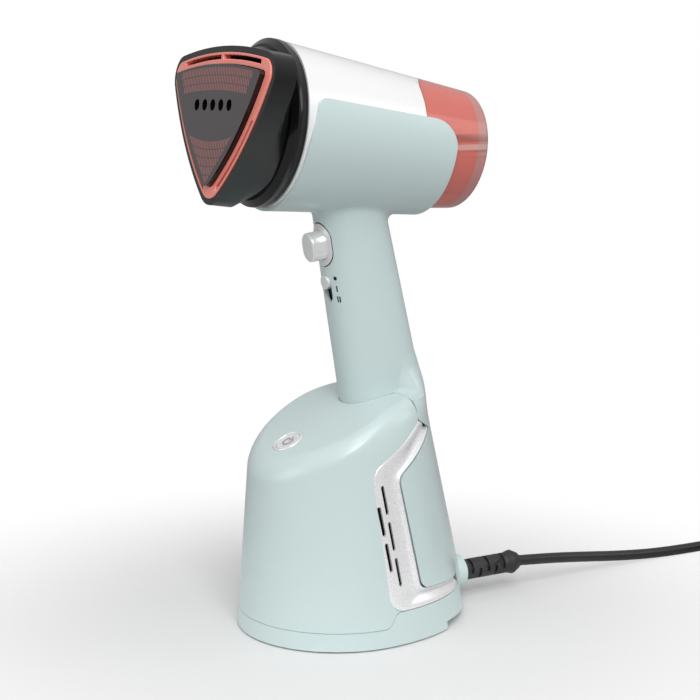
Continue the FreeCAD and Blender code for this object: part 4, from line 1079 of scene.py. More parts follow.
@dataclass(frozen=True)
class BaseFront:
    """The mint front of the base: the wall, the bright bevelled band and the sloped top (mm)."""

    columns: int = 80
    rows: int = 36
    low: float = 8.0
    top_angle: float = 0.42
    last_angle: float = 1.0
    band_front: float = 9.5
    band_side: float = 3.0
    band_power: float = 2.5
    band_fullness: float = 0.72
    handle_gap: float = 0.3
    ladder: tuple[float, float, int] = (60.0, 158.0, 1200)
    wall: float = 2.4
    button_hole: float = 10.1
    back: tuple[tuple[float, float], ...] = (
        (SLOPE_END_Y, 190), (SLOPE_END_Y, SLOPE_END_Z), (30, 130.6), (-8.6, 105.6), (1.6, 20.4), (130, 20.4))
    back_radii: tuple[float, ...] = (1.5, 4, 12, 11)
    under: tuple[tuple[float, float], ...] = ((-130, 11.9), (0, 11.9), (5.2, 20.7), (130, 20.7))
    under_radii: tuple[float, ...] = (6, 4)

    def slope_edge(self, angle: np.ndarray) -> np.ndarray:
        """The lowest height at which the base's wall meets the sloped top.

        The wall is compared with the slope along a ladder of heights, and the first crossing is
        placed between its two rungs in proportion.

        Args:
            angle: Angles round the base.

        Returns:
            The height at each angle.
        """
        ladder = np.linspace(*self.ladder)
        place = base_point(angle[:, None] + 0 * ladder, ladder + 0 * angle[:, None])
        over = place[..., 2] - slope_height(place[..., 1])
        first = np.maximum(np.argmax(over > 0, axis=1), 1)
        row = np.arange(len(angle))
        before, after = over[row, first - 1], over[row, first]
        return ladder[first - 1] + (ladder[1] - ladder[0]) * (-before / (after - before))

    def handle_seam(self) -> np.ndarray:
        """Where the handle comes out of the slope, from the front past the shell's end.

        The height is drawn half way to the slope's height at the handle's own Y, thirty times.

        Returns:
            The seam's points.
        """
        angle = np.radians(np.linspace(-90, 3.0, self.columns))
        z = np.full(angle.shape, 145.0)
        for _ in range(30):
            z = (z + slope_height(HANDLE.point(angle, z, self.handle_gap)[:, 1])) / 2
        return HANDLE.point(angle, z, self.handle_gap)

    def build(self) -> bpy.types.Object:
        """Make the shell: wall, band and slope as grids, then the seams and the button's hole cut out.

        The band is a share of a quadratic arc over the sharp edge and a share of its chord.

        Returns:
            The shell.
        """
        angle = np.linspace(-math.pi / 2, self.top_angle, self.columns)
        rim_z = self.slope_edge(angle)
        share = np.linspace(0, 1, self.columns) ** self.band_power
        band = self.band_front * (1 - share) + self.band_side * share
        behind = np.linspace(self.top_angle, self.last_angle, 20)[1:]
        columns = np.concatenate([angle, behind])
        crease = np.concatenate([rim_z - band, np.full(len(behind), rim_z[-1] - band[-1])])
        up = np.linspace(0, 1, self.rows)[:, None]
        wall = base_point(columns[None] + 0 * up, self.low + (crease - self.low) * up)
        rim = base_point(angle, rim_z)
        seam = self.handle_seam()
        inner = rim + unit(seam - rim) * band[:, None]
        inner[:, 2] = slope_height(inner[:, 1])
        t = np.linspace(0, 1, 12)[:, None, None]
        outer = wall[-1, :self.columns]
        arc = (1 - t) ** 2 * outer + 2 * t * (1 - t) * rim + t * t * inner
        chord = (1 - t) * outer + t * inner
        slope = inner + (seam - inner) * np.linspace(0, 1, 20)[:, None, None]
        slope[..., 2] = slope_height(slope[..., 1])
        full = self.band_fullness
        skin = Skin().add(wall).add(full * arc + (1 - full) * chord).add(slope).mirror()
        mesh = skin.mesh("base_front_skin", (0, -1, 0))
        piece = Piece("base_front_skin", Finish.MINT, "mint_plastic", ROOT, ("base_front_shell",),
                      wall=self.wall, sharp=24.0).finish_off(mesh)
        settled(piece)
        back = rounded_line(self.back, self.back_radii, 14)
        carve(piece, prism(np.concatenate([back, [(130, 190)]])))
        under = rounded_line(self.under, self.under_radii, 10)
        carve(piece, prism(np.concatenate([under, [(130, -20), (-130, -20)]])))
        carve(piece, drum(SLOPE, self.button_hole, -14.0, 8.0))
        return soften(piece, 0.2, 2, 55.0)


def prism(outline: np.ndarray) -> bpy.types.Mesh:
    """A closed outline in side view, drawn out along X past both sides, as a tool to carve with.

    Args:
        outline: Points (Y, Z), in mm.

    Returns:
        The closed mesh.
    """
    count = len(outline)
    ends = [np.column_stack([np.full(count, x), outline]) for x in (-PRISM_REACH, PRISM_REACH)]
    ring = np.arange(count)
    quads = np.stack([ring, np.roll(ring, -1), np.roll(ring, -1) + count, ring + count], -1)
    mesh = bpy.data.meshes.new("prism")
    caps = [list(range(count)), list(range(2 * count - 1, count - 1, -1))]
    mesh.from_pydata((np.concatenate(ends) * MM).tolist(), [], [*caps, *quads.tolist()])
    build = bmesh.new()
    build.from_mesh(mesh)
    bmesh.ops.recalc_face_normals(build, faces=build.faces)
    build.to_mesh(mesh)
    build.free()
    return mesh


def drum(place: Place, radius: float, low: float, high: float) -> bpy.types.Mesh:
    """A round tool to carve with: a circle from low to high, closed by a fan at each end.

    Args:
        place: The frame whose Z axis it stands on.
        radius: Its radius (mm).
        low, high: Its ends along the axis.

    Returns:
        The closed mesh.
    """
    circle = np.linspace(0, 2 * math.pi, 64, endpoint=False)
    tool = Skin()
    sides = [np.stack([radius * np.cos(circle), radius * np.sin(circle), 0 * circle + height], -1)
             for height in (low, high)]
    tool.add(place.put(np.stack(sides)), round_columns=True)
    for height, row in zip((low, high), sides):
        middle = np.tile([0.0, 0.0, height], (len(row), 1))
        tool.add(place.put(np.stack([row, middle])), round_columns=True)
    return tool.mesh("drum", (0, 0, 1))


@dataclass(frozen=True)
class Spine:
    """The mint back of the base, which rises into the back of the handle (mm and degrees).

    What stands out of the handle above the shoulder ends (start, run) below the top, and swings
    out from nothing at the front to all of it at the back over (start, run) of the angle.
    """

    wall: float = 2.2
    blend: float = 9.0
    rows: int = 120
    columns: int = 121
    low: float = 18.0
    top: float = 182.0
    first_angle: float = -42.0
    tuck: float = 0.5
    front_lean: float = 74.0
    open_front_z: float = 131.0
    last_blend: float = 24.0
    shoulder_z: float = 142.5
    shoulder_run: float = 3.5
    fall: tuple[float, float] = (6.0, 30.0)
    swing: tuple[float, float] = (2.0, 45.0)
    seam: tuple[tuple[float, float], ...] = ((66, 28.3), (25.5, 31.5), (10.5, 99.8), (44.8, 123.1))
    shelf_z: float = 20.7

    def reach(self, angle: np.ndarray, z: np.ndarray) -> np.ndarray:
        """How far the base reaches from the handle's axis, behind the front shell's end.

        The base's egg is met by halving. A plane that leans back above the shell's end cuts it
        off, and the smaller of the two is taken, rounded.

        Args:
            angle: From +X towards +Y, about the handle's axis.
            z: Height.

        Returns:
            The reach.
        """
        centre, width, front, rear = base_sizes(z)
        axis = HANDLE.axis(z)
        c, s = np.cos(angle), np.sin(angle)

        def wrong(r: np.ndarray) -> np.ndarray:
            """Squares of the shares of the egg's half width and depth, less one: zero on the egg."""
            y = axis + r * s - centre
            return (r * c / width) ** 2 + (y / np.where(y < 0, front, rear)) ** 2 - 1

        base = halving(wrong, np.zeros(z.shape), np.full(z.shape, 130.0))
        above = np.maximum(z - SLOPE_END_Z + 0.6, 0)
        start = SLOPE_END_Y + 0.2 + above / math.tan(math.radians(self.front_lean))
        start = np.where(z < self.open_front_z, -60.0, start)
        cut = np.where(s < -0.01, (axis - start) / np.maximum(-s, 0.01), 200.0)
        return -smooth_max(-base, -cut, 3.0)

    def build(self) -> bpy.types.Object:
        """Make the back: the larger of the handle and the base at each angle, blended, then trimmed.

        Above the front shell's end, what stands out of the handle fades towards the top, and
        towards the front by the angle.

        Returns:
            The back.
        """
        across = np.radians(np.linspace(self.first_angle, 180 - self.first_angle, self.columns))
        angle, z = np.meshgrid(across, np.linspace(self.low, self.top, self.rows))
        axis = HANDLE.axis(z)
        hand = HANDLE.point(angle, z) - np.stack([0 * z, axis, z], -1)
        turn = np.arctan2(hand[..., 1], hand[..., 0])
        turn = np.where(turn < -2.2, turn + 2 * math.pi, turn)
        grip = np.linalg.norm(hand[..., :2], axis=-1) - self.tuck
        reach = self.reach(turn, z)
        fade = np.clip((self.top - z) / self.last_blend, 0, 1)
        out = smooth_max(grip, np.where(fade > 0, reach, 0), self.blend) - (1 - fade) * 0.3
        down = np.clip((self.top - self.fall[0] - z) / self.fall[1], 0, 1)
        behind = np.clip((np.degrees(turn) - self.swing[0]) / self.swing[1], 0, 1)
        high = np.clip((z - self.shoulder_z) / self.shoulder_run, 0, 1)
        keep = eased(down) * (1 - high * (1 - eased(behind)))
        out = np.where(z > self.shoulder_z, grip + np.maximum(out - grip, 0) * keep, out)
        grid = np.stack([out * np.cos(turn), axis + out * np.sin(turn), z], -1)
        piece = Piece("spine_skin", Finish.MINT, "mint_plastic", ROOT, ("spine_cover",), wall=self.wall,
                      sharp=24.0).finish_off(Skin().add(grid).mesh("spine_skin", (0, 1, 0)))
        settled(piece)
        line = rounded_line(self.seam, [7, 7], 12)
        front = [(30.4, 130.9), (SLOPE_END_Y + 0.25, SLOPE_END_Z), (-150, SLOPE_END_Z + 0.2)]
        under = [(-150, -10), (150, -10), (150, self.shelf_z), (66, self.shelf_z)]
        outline = np.concatenate([under, line, front])
        carve(piece, prism(outline))
        piece.data.set_sharp_from_angle(angle=math.radians(24))
        return piece


@dataclass(frozen=True)
class HandleFoot:
    """The foot of the handle, where it goes into the sloped top (mm)."""

    low: float = 122.0
    high: float = 162.0
    tuck: float = 0.06
    taper: tuple[float, float, float] = (154.0, 6.0, 0.5)

    def build(self) -> bpy.types.Object:
        """Make the ring, a hair inside the handle's own surface and deeper towards its top.

        Returns:
            The ring.
        """
        across = np.linspace(0, 2 * math.pi, 120, endpoint=False)
        angle, z = np.meshgrid(across, np.linspace(self.low, self.high, 14))
        start, length, depth = self.taper
        sunk = -self.tuck - depth * np.clip((z - start) / length, 0, 1)
        skin = Skin().add(HANDLE.point(angle, z, sunk), round_columns=True)
        return Piece("handle_foot", Finish.MINT, "mint_plastic", wall=2.0).finish_off(
            skin.mesh("handle_foot", (1, 0, 0)))


@dataclass(frozen=True)
class PowerButton:
    """The satin power button in its ring, with the usual on and off symbol (mm, in the slope's frame).

    The ring and the button are closed profiles of (radius, height). The symbol is an arc (radius
    and its two angles) and a bar (its two ends), in a line of (half width, half height).
    """

    ring: tuple[tuple[float, float], ...] = (
        (8.1, -3.0), (8.1, 0.15), (8.35, 0.5), (9.1, 0.65), (9.7, 0.4), (10.0, -0.1), (10.0, -3.0),
        (8.1, -3.0))
    button: tuple[tuple[float, float], ...] = (
        (0.01, -0.25), (3.0, -0.2), (5.5, 0.0), (7.0, 0.25), (7.55, 0.1), (7.8, -0.3), (7.8, -2.2),
        (0.01, -2.2))
    arc: tuple[float, float, float] = (3.3, 125.0, 415.0)
    bar: tuple[float, float] = (0.9, 4.6)
    line: tuple[float, float] = (0.42, 0.3)

    def turned(self, profile: Sequence[tuple[float, float]]) -> Skin:
        """A profile turned about the button's axis.

        Args:
            profile: Its points, as (radius, height).

        Returns:
            The skin.
        """
        angle = np.linspace(0, 2 * math.pi, 96, endpoint=False)
        r, h = np.array(profile).T[:, :, None]
        grid = SLOPE.put(np.stack([r * np.cos(angle), r * np.sin(angle), h + 0 * angle], -1))
        return Skin().add(grid, round_columns=True)

    def symbol(self) -> Skin:
        """The on and off symbol: an oval line along an arc, and one along a bar.

        Returns:
            The skin.
        """
        radius, start, end = self.arc
        half, rise = self.line
        arc = np.radians(np.linspace(start, end, 40))[:, None]
        tube = np.linspace(0, 2 * math.pi, 10, endpoint=False)
        out = radius + half * np.cos(tube)
        ring = np.stack([out * np.cos(arc), out * np.sin(arc), rise * np.sin(tube) - 0.12 + 0 * arc], -1)
        y = np.linspace(*self.bar, 12)[:, None]
        bar = np.stack([half * np.cos(tube) + 0 * y, y + 0 * tube, rise * np.sin(tube) - 0.1 + 0 * y], -1)
        return Skin().add(SLOPE.put(ring), round_columns=True).add(SLOPE.put(bar), round_columns=True)

    def build(self) -> None:
        """Make the ring, the dished button and the raised symbol."""
        Piece("button_ring_skin", Finish.SATIN, "pearl_plastic", ROOT, ("button_ring",),
              sharp=50.0).finish_off(self.turned(self.ring).mesh("button_ring", (0, 0, 1)))
        Piece("power_button_skin", Finish.SATIN, "pearl_plastic", "power_button", ("power_button",),
              sharp=40.0).finish_off(self.turned(self.button).mesh("power_button", (0, 0, 1)))
        Piece("power_symbol", Finish.SIGN, "pearl_plastic", "power_button", sharp=60.0).finish_off(
            self.symbol().mesh("power_symbol", (0, 0, 1)))


@dataclass(frozen=True)
class VentTrim:
    """The dished silver ribbon at each side of the base, with five through slots."""

    outer: tuple[tuple[float, float], ...] = ((30, 130.6), (-8.6, 105.6), (1.6, 20.7), (66, 20.7))
    inner: tuple[tuple[float, float], ...] = ((44.2, 123.4), (10.2, 100), (25.2, 31.2), (66, 28))
    outer_radii: tuple[float, float] = (12.0, 11.0)
    inner_radii: tuple[float, float] = (7.0, 7.0)
    slots: tuple[tuple[float, float], ...] = (
        (-0.4, 88.4), (3.6, 66.4), (7.6, 44.4), (-3.3, 76.2), (0.8, 54.2))
    lean: float = 10.2
    slot_length: float = 18.0
    slot_half: float = 1.15
    cut: tuple[float, float] = (40.0, 75.0)
    dish: float = 2.4
    lip: float = 2.1
    lip_fall: float = 1.4
    wall: float = 1.5
    # The black sheet of painted shade behind the slots: its heights, its two edges in Y, its lean and its
    # depth.
    shade_sheet: tuple[float, float] = (34.0, 98.0)
    shade_sheet_y: tuple[float, float] = (-7.5, 12.5)
    shade_sheet_lean: float = 0.119
    shade_sheet_depth: float = 4.2

    def line(self, points: Sequence[tuple[float, float]], radii: Sequence[float]) -> np.ndarray:
        """An outline with as many points along each run and arc as its partner on the ribbon.

        Args:
            points: The corners, with both ends.
            radii: The rounding of the two inner corners.

        Returns:
            The outline.
        """
        rough = rounded_line(points, radii, 12)
        made = []
        for k, (start, end) in enumerate(zip(rough, rough[1:])):
            parts = 26 if k in (0, 12, 24) else 2
            made.append(start + (end - start) * np.arange(parts)[:, None] / parts)
        made.append(rough[-1:])
        return np.concatenate(made)

    def section(self, across: np.ndarray) -> np.ndarray:
        """How far the ribbon stands out: flush outside, a soft dish, and a thin lip at the inside.

        Args:
            across: Shares of the way from the outer line to the inner one.

        Returns:
            The height at each share.
        """
        def rise(start: float, end: float) -> np.ndarray:
            """A soft step from start to end."""
            return eased(np.clip((across - start) / (end - start), 0, 1))

        sunk = -0.5 * (1 - rise(0.0, 0.05)) - self.dish * rise(0.12, 0.84)
        return sunk + self.lip * rise(0.86, 0.92) - self.lip_fall * rise(0.965, 1.0)

    def slot_tool(self) -> Skin:
        """The slots as one tool: ovals with straight sides, leaning in side view and drawn out along X.

        Returns:
            The skin of the tool.
        """
        turn = np.linspace(0, math.pi, 9)
        half, run = self.slot_half, self.slot_length / 2 - self.slot_half
        top = np.stack([half * np.cos(turn), run + half * np.sin(turn)], -1)
        ring = np.concatenate([top, -top])
        c, s = math.cos(math.radians(self.lean)), math.sin(math.radians(self.lean))
        tool = Skin()
        for y, z in self.slots:
            place = np.stack([y + ring[:, 0] * c - ring[:, 1] * s, z + ring[:, 0] * s + ring[:, 1] * c], -1)
            sides = [np.column_stack([np.full(len(place), x), place]) for x in self.cut]
            tool.add(np.stack(sides), round_columns=True)
            for x, row in zip(self.cut, sides):
                middle = np.tile([x, y, z], (len(row), 1))
                tool.add(np.stack([row, middle]), round_columns=True)
        return tool

    def build(self, side: str) -> bpy.types.Object:
        """Make the ribbon of one side, and the black sheet of painted shade behind its slots.

        Args:
            side: "right" or "left".

        Returns:
            The ribbon.
        """
        across = np.concatenate([np.linspace(0, 0.86, 24), np.linspace(0.88, 1.0, 13)])
        outside, inside = self.line(self.outer, self.outer_radii), self.line(self.inner, self.inner_radii)
        flat = outside[None] + (inside - outside)[None] * across[:, None, None]
        out = self.section(across)[:, None] * np.ones(flat.shape[1]) - 0.1
        ribbon = Skin().add(base_side(flat, out))
        tool = self.slot_tool()
        rise = np.linspace(*self.shade_sheet, 20)
        middle = sum(self.shade_sheet) / 2
        leaning = (middle - rise) * self.shade_sheet_lean
        flat_shade_sheet = np.stack([np.stack([y + leaning, rise], -1) for y in self.shade_sheet_y])
        shade_sheet = Skin().add(base_side(flat_shade_sheet, -self.shade_sheet_depth))
        if side == "left":
            ribbon, tool, shade_sheet = ribbon.flipped(), tool.flipped(), shade_sheet.flipped()
        facing = (1, 0, 0) if side == "right" else (-1, 0, 0)
        name = f"vent_trim_{side}"
        piece = Piece(f"{name}_skin", Finish.TRIM, "pearl_plastic", ROOT, (name,), wall=self.wall,
                      sharp=50.0).finish_off(ribbon.mesh(name, facing))
        settled(piece)
        carve(piece, tool.mesh("cutter", facing))
        piece.data.set_sharp_from_angle(angle=math.radians(50))
        # A black sheet of painted shade inside the slots, so that they read dark.
        Piece(f"vent_shade_sheet_{side}", Finish.BLACK, "black_plastic", ROOT, wall=0.8).finish_off(
            shade_sheet.mesh("vent_shade_sheet", facing))
        return piece


# ---------------------------------------------------------------------------
# Studio, cord and plain dressing
# ---------------------------------------------------------------------------
@dataclass(frozen=True)
class Studio:
    """The camera, the soft lights and the pale floor (metres and degrees).

    A lamp is (name, place, side, watts). The sky's level goes from the horizon's to the one
    overhead, and the floor fades between two distances from the base.
    """

    eye: tuple[float, float, float] = (0.81075, -0.45504, 0.32134)
    tilt: float = 80.73
    turn: float = 60.29
    lens: float = 80.0
    aim: tuple[float, float, float] = (0.0, 0.02, 0.25)
    lamps: tuple[tuple[str, tuple[float, float, float], float, float], ...] = (
        ("key", (0.9, -0.4, 1.9), 1.2, 11.5), ("fill", (1.4, -0.55, 1.05), 0.8, 14.5),
        ("left", (-0.3, -1.8, 0.6), 1.0, 5.0), ("back", (0.9, 1.6, 1.0), 0.8, 3.0))
    sky_level: tuple[float, float] = (0.36, 0.62)
    floor_tone: float = 0.76
    floor_fade: tuple[float, float] = (0.10, 0.36)
    floor_reach: float = 7.0

    def camera(self) -> None:
        """Stand the camera at the catalogue angle."""
        data = bpy.data.cameras.new("camera")
        data.lens = self.lens
        data.sensor_width = 36.0
        data.clip_start = 0.01
        seen = bpy.data.objects.new("camera", data)
        seen.location = self.eye
        seen.rotation_euler = (math.radians(self.tilt), 0.0, math.radians(self.turn))
        bpy.context.scene.collection.objects.link(seen)
        bpy.context.scene.camera = seen

    def light(self, name: str, place: Sequence[float], size: float, watts: float) -> None:
        """Hang a square soft light that looks at the middle of the object.

        Args:
            name: Its name.
            place: Where it hangs.
            size: Its side.
            watts: Its power.
        """
        data = bpy.data.lights.new(name, "AREA")
        data.size = size
        data.energy = watts
        lamp = bpy.data.objects.new(name, data)
        lamp.location = place
        way = Vector(self.aim) - Vector(place)
        lamp.rotation_euler = way.to_track_quat("-Z", "Y").to_euler()
        bpy.context.scene.collection.objects.link(lamp)

    def sky(self) -> None:
        """A grey dome that is brighter overhead, and plain white behind the object."""
        world = bpy.data.worlds.new("studio")
        world.use_nodes = True
        nodes, links = world.node_tree.nodes, world.node_tree.links
        place = nodes.new("ShaderNodeTexCoord")
        split = nodes.new("ShaderNodeSeparateXYZ")
        height = nodes.new("ShaderNodeMapRange")
        for key, value in zip(("From Min", "From Max", "To Min", "To Max"), (0.0, 0.9, *self.sky_level)):
            height.inputs[key].default_value = value
        path = nodes.new("ShaderNodeLightPath")
        pick = nodes.new("ShaderNodeMix")
        pick.inputs[3].default_value = 1.0
        background = nodes["Background"]
        links.new(place.outputs["Generated"], split.inputs[0])
        links.new(split.outputs["Z"], height.inputs["Value"])
        links.new(path.outputs["Is Camera Ray"], pick.inputs[0])
        links.new(height.outputs[0], pick.inputs[2])
        links.new(pick.outputs[0], background.inputs["Strength"])
        bpy.context.scene.world = world
        background.inputs["Color"].default_value = (1.0, 1.0, 1.0, 1.0)

    def build(self) -> None:
        """Make the whole studio."""
        bpy.context.scene.view_settings.view_transform = "Standard"
        self.camera()
        self.sky()
        for lamp in self.lamps:
            self.light(*lamp)
        box = Paintbox("floor_card")
        cloud = box.noise(3.0, 2.0)
        pale, paler = (self.floor_tone,) * 3, (self.floor_tone * 1.02,) * 3
        x, y, _ = box.parts(box.place())
        far = (x * x + y * y).math("SQRT").ramp(*self.floor_fade)
        box.set(Base_Color=box.mix(cloud, pale, paler), Roughness=0.6, Specular_IOR_Level=0.1,
                Alpha=1.0 - far)
        mesh = bpy.data.meshes.new("floor")
        reach = self.floor_reach
        corners = [(-reach, -reach, 0.0), (reach, -reach, 0.0), (reach, reach, 0.0), (-reach, reach, 0.0)]
        mesh.from_pydata(corners, [], [(0, 1, 2, 3)])
        mesh.materials.append(box.material)
        floor = bpy.data.objects.new("floor", mesh)
        bpy.context.scene.collection.objects.link(floor)


@dataclass(frozen=True)
class MainsCord:
    """The mains lead: out of the base, along the floor, round the stored coil and up to the plug."""

    diameter: float = 0.007
    length: float = 2.03
    centre: tuple[float, float] = (0.049, 0.340)
    inner: float = 0.028
    turns: float = 7.25
    per_turn: int = 24
    lead: tuple[tuple[float, float, float], ...] = (
        (0.0, 0.134, 0.0172), (0.0004, 0.158, 0.0154), (-0.001, 0.189, 0.0114), (-0.0026, 0.222, 0.0066),
        (-0.0018, 0.256, 0.0037), (0.0004, 0.293, 0.0035), (0.0, 0.318, 0.0035))
    tail: tuple[tuple[float, float, float], ...] = (
        (0.064, 0.3894, 0.008), (0.079, 0.3886, 0.0064), (0.094, 0.389, 0.0103))

    def wind(self, turn: float) -> tuple[float, float, float]:
        """A point of the coil.

        Each turn keeps its radius for three quarters and then steps one diameter, inwards in
        the lower layer and outwards in the upper one. It climbs between the layers within the
        third quarter of the fourth turn.

        Args:
            turn: How many turns in, from the lower outer turn on the left.

        Returns:
            The point, in metres.
        """
        def step(start: float) -> float:
            """A soft step over a quarter of a turn."""
            return eased(min(1.0, max(0.0, (turn - start) / 0.25)))

        inwards = sum(step(start) for start in (0.75, 1.75, 2.75))
        outwards = sum(step(start) for start in (4.25, 5.25, 6.25))
        radius = self.inner + self.diameter * (3 - inwards + outwards)
        radius /= math.cos(math.pi / self.per_turn)
        angle = math.pi - 2 * math.pi * turn
        height = self.diameter * (0.5 + step(3.5))
        x = self.centre[0] + radius * math.cos(angle)
        return x, self.centre[1] + radius * math.sin(angle), height

    def build(self) -> bpy.types.Object:
        """Returns:
            The cord.
        """
        count = round(self.turns * self.per_turn)
        coil = [self.wind(k / self.per_turn) for k in range(count + 1)]
        points = [*self.lead, *coil, *self.tail]
        curve = bpy.data.curves.new("power_lead", "CURVE")
        curve.dimensions = "3D"
        curve.bevel_depth = self.diameter / 2
        curve.bevel_resolution = 5
        curve.resolution_u = 4
        curve.use_fill_caps = True
        spline = curve.splines.new("NURBS")
        spline.points.add(len(points) - 1)
        for place, point in zip(points, spline.points):
            point.co = (*place, 1.0)
        spline.order_u = 3
        spline.use_endpoint_u = True
        curve.materials.append(material_of(Finish.CORD))
        piece = bpy.data.objects.new("power_lead", curve)
        bpy.context.scene.collection.objects.link(piece)
        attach(piece, ROOT)
        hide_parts("mains_cord", "cord_coil")
        return piece


DRESS: dict[Finish, tuple[str, ...]] = {
    Finish.MINT: ("body_shell_right", "body_shell_left", "spine_cover", "base_front_shell", "bottom_shell",
                  "gland_boss"),
    Finish.SOLE: ("soleplate",),
    Finish.PEARL: ("barrel_cover",),
    Finish.WHITE: ("vent_trim_right", "vent_trim_left"),
    Finish.BLACK: ("head_housing",),
    Finish.GLOSS: ("collar_ring", "slide_plate"),
    Finish.CORAL: ("suction_frame",),
    Finish.TANK: ("water_tank",),
    Finish.TANK_CAP: ("tank_end_cap", "filler_plug"),
    Finish.SATIN: ("button_ring", "power_button", "mode_slider", "trigger_bezel", "trigger_button"),
    Finish.CAST: ("heating_block",),
    Finish.STEEL: ("soleplate_screws", "heater_element", "trigger_spring", "shell_screws", "motor_shaft",
                   "base_screws", "plug_pins", "thermostat", "heat_shield", "motor_bearings", "impeller_nut"),
    Finish.COPPER: ("water_pump",),
    Finish.ROTOR: ("motor_rotor", "fan_motor"),
    Finish.RUBBER: ("base_pad", "strain_relief", "inner_lead", "plug_body", "valve_seal"),
    Finish.SILICONE: ("pump_hoses", "thermal_fuse"),
    Finish.NATURAL: ("pump_cradle", "tank_socket", "outlet_valve", "motor_mount", "terminal_block",
                     "cord_clamp"),
    Finish.DARK: ("trigger_switch", "slide_switch", "power_switch", "suction_duct", "impeller", "fan_housing",
                  "board_parts"),
    Finish.BOARD: ("control_board",),
}


def dress() -> None:
    """Give every CAD node its finish."""
    for finish, nodes in DRESS.items():
        for node in nodes:
            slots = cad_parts[node].data.materials
            slots.clear()
            slots.append(material_of(finish))
    left = set(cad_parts) - {node for nodes in DRESS.values() for node in nodes}
    for node in left:
        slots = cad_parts[node].data.materials
        slots.clear()
        slots.append(material_of(Finish.DARK))
    LOG.info("nodes without a finish of their own: %s", sorted(left))


def smoothed(node: str, look: Piece, degrees: float = 25.0) -> bpy.types.Object:
    """A CAD part whose turned and blended faces are shaded smooth.

    Args:
        node: The CAD node that it stands for.
        look: Its name, finish, slot and body.
        degrees: Edges that turn more than this stay sharp.

    Returns:
        The piece.
    """
    build = bmesh.new()
    build.from_mesh(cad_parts[node].data)
    bmesh.ops.remove_doubles(build, verts=build.verts, dist=0.01 * MM)
    mesh = bpy.data.meshes.new(look.name)
    build.to_mesh(mesh)
    build.free()
    mesh.materials.clear()
    for polygon in mesh.polygons:
        polygon.material_index = 0
    piece = look.finish_off(mesh)
    mesh.set_sharp_from_angle(angle=math.radians(degrees))
    if look.edge:
        piece.modifiers["edges"].angle_limit = math.radians(degrees)
    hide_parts(node)
    return piece


@dataclass(frozen=True)
class Face:
    """The steam face: the coated plate with black sides, and the coral frame round it."""

    def build(self) -> None:
        """Make both from their CAD shapes, with rounded edges."""
        look = Piece("suction_frame_skin", Finish.CORAL, "coral_plastic", edge=0.45, edge_steps=3)
        smoothed("suction_frame", look).modifiers["edges"].harden_normals = False
        look = Piece("soleplate_skin", Finish.SOLE, "sole_coating", edge=0.35, extra=(Finish.GLOSS,))
        plate = smoothed("soleplate", look)
        turn = math.radians(HEAD_TILT)
        front = Vector((0.0, -math.cos(turn), -math.sin(turn)))
        for polygon in plate.data.polygons:
            polygon.material_index = 0 if polygon.normal.dot(front) > 0.6 else 1


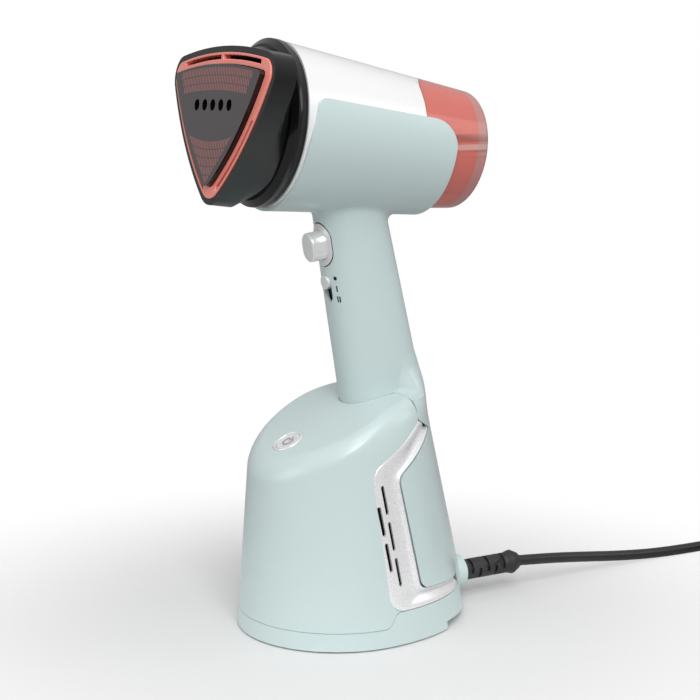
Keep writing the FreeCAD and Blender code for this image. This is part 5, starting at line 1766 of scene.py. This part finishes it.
@dataclass(frozen=True)
class HandleMarks:
    """The raised ink beside the slider and a black ring of painted shadow over the gap round the trigger's
    bezel (mm).

    The dot is (X, rise, radius), each of the three bars is (X, rise), and a bar is (half width,
    half height). Rises are from the middle of the slider's plate. The ring of painted shadow runs
    between two amounts past the bezel's edge.
    """

    dot: tuple[float, float, float] = (8.6, 6.3, 1.2)
    bars: tuple[tuple[float, float], ...] = ((8.9, 0.0), (8.6, -6.3), (10.0, -6.3))
    bar: tuple[float, float] = (0.42, 1.8)
    ink: float = 0.05
    gap: tuple[float, float] = (-0.6, 0.45)
    shadow_ring_proud: float = 0.06

    def patch(self, x: float, z: float, half_w: float, half_h: float, round_ends: bool) -> np.ndarray:
        """A small grid on the handle's front.

        Args:
            x, z: Its centre.
            half_w, half_h: Half its width and height.
            round_ends: Squeeze the square into a disc, each side by the root of 1 - other^2 / 2.

        Returns:
            The grid.
        """
        u, v = np.meshgrid(np.linspace(-1, 1, 9), np.linspace(-1, 1, 9))
        if round_ends:
            u, v = u * np.sqrt(1 - v * v / 2), v * np.sqrt(1 - u * u / 2)
        return HANDLE.front(x + half_w * u, z + half_h * v, self.ink)

    def outline(self, node: str) -> np.ndarray:
        """A thin ring on the handle round a plate with round ends.

        Two circles are drawn apart by the plate's straight length, one inside its edge and one
        outside, and both lie on the handle's front.

        Args:
            node: The plate.

        Returns:
            The ring, as a grid of two rows.
        """
        low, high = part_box(node)
        half_w, half_h = (high.x - low.x) / 2 / MM, (high.z - low.z) / 2 / MM
        middle = (high.z + low.z) / 2 / MM
        turn = np.linspace(0, 2 * math.pi, 96, endpoint=False)
        rings = []
        for grow in self.gap:
            r = half_w + grow
            z = middle + np.sign(np.sin(turn)) * (half_h - half_w) + r * np.sin(turn)
            rings.append(HANDLE.front(r * np.cos(turn), z, self.shadow_ring_proud))
        return np.stack(rings)

    def build(self) -> None:
        """Lay the marks on the surface."""
        low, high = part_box("slide_plate")
        middle = (low.z + high.z) / 2 / MM
        ink = Skin()
        x, rise, radius = self.dot
        ink.add(self.patch(x, middle + rise, radius, radius, True))
        for x, rise in self.bars:
            ink.add(self.patch(x, middle + rise, *self.bar, False))
        # A black ring of painted shadow in the gap round the trigger's bezel.
        ring = Skin().add(self.outline("trigger_bezel"), round_columns=True)
        Piece("trigger_shadow_gap", Finish.BLACK, "black_plastic", wall=0.1).finish_off(
            ring.mesh("trigger_gap_shadow", (0, -1, 0), 0.001))
        Piece("slider_marks", Finish.BLACK, "black_plastic", wall=0.12).finish_off(
            ink.mesh("marks", (0, -1, 0), 0.001))


PLAIN: tuple[tuple[str, Finish, str, str], ...] = (
    ("head_housing", Finish.BLACK, "black_plastic", ROOT),
    ("collar_ring", Finish.GLOSS, "black_gloss", ROOT),
    ("barrel_cover", Finish.PEARL, "pearl_plastic", ROOT),
    ("body_shell_right", Finish.MINT, "mint_plastic", ROOT),
    ("body_shell_left", Finish.MINT, "mint_plastic", ROOT),
    ("bottom_shell", Finish.MINT, "mint_plastic", ROOT),
    ("water_tank", Finish.TANK, "coral_clear", "tank"),
    ("tank_end_cap", Finish.TANK_CAP, "coral_clear", "tank"),
    ("trigger_bezel", Finish.SATIN, "pearl_plastic", ROOT),
    ("trigger_button", Finish.SATIN, "pearl_plastic", "trigger"),
    ("slide_plate", Finish.GLOSS, "black_gloss", ROOT),
    ("mode_slider", Finish.SATIN, "pearl_plastic", "slider"),
    ("strain_relief", Finish.RUBBER, "rubber", ROOT),
)


def main() -> None:
    """Build the studio and the steamer."""
    logging.basicConfig(level=logging.INFO, format="%(message)s")
    dress()
    MainsCord().build()
    for node, finish, slot, body in PLAIN:
        smoothed(node, Piece(f"{node}_skin", finish, slot, body))
    BaseFront().build()
    Spine().build()
    HandleFoot().build()
    PowerButton().build()
    Face().build()
    HandleMarks().build()
    for side in ("right", "left"):
        VentTrim().build(side)
    Studio().build()


if __name__ == "__main__":
    main()
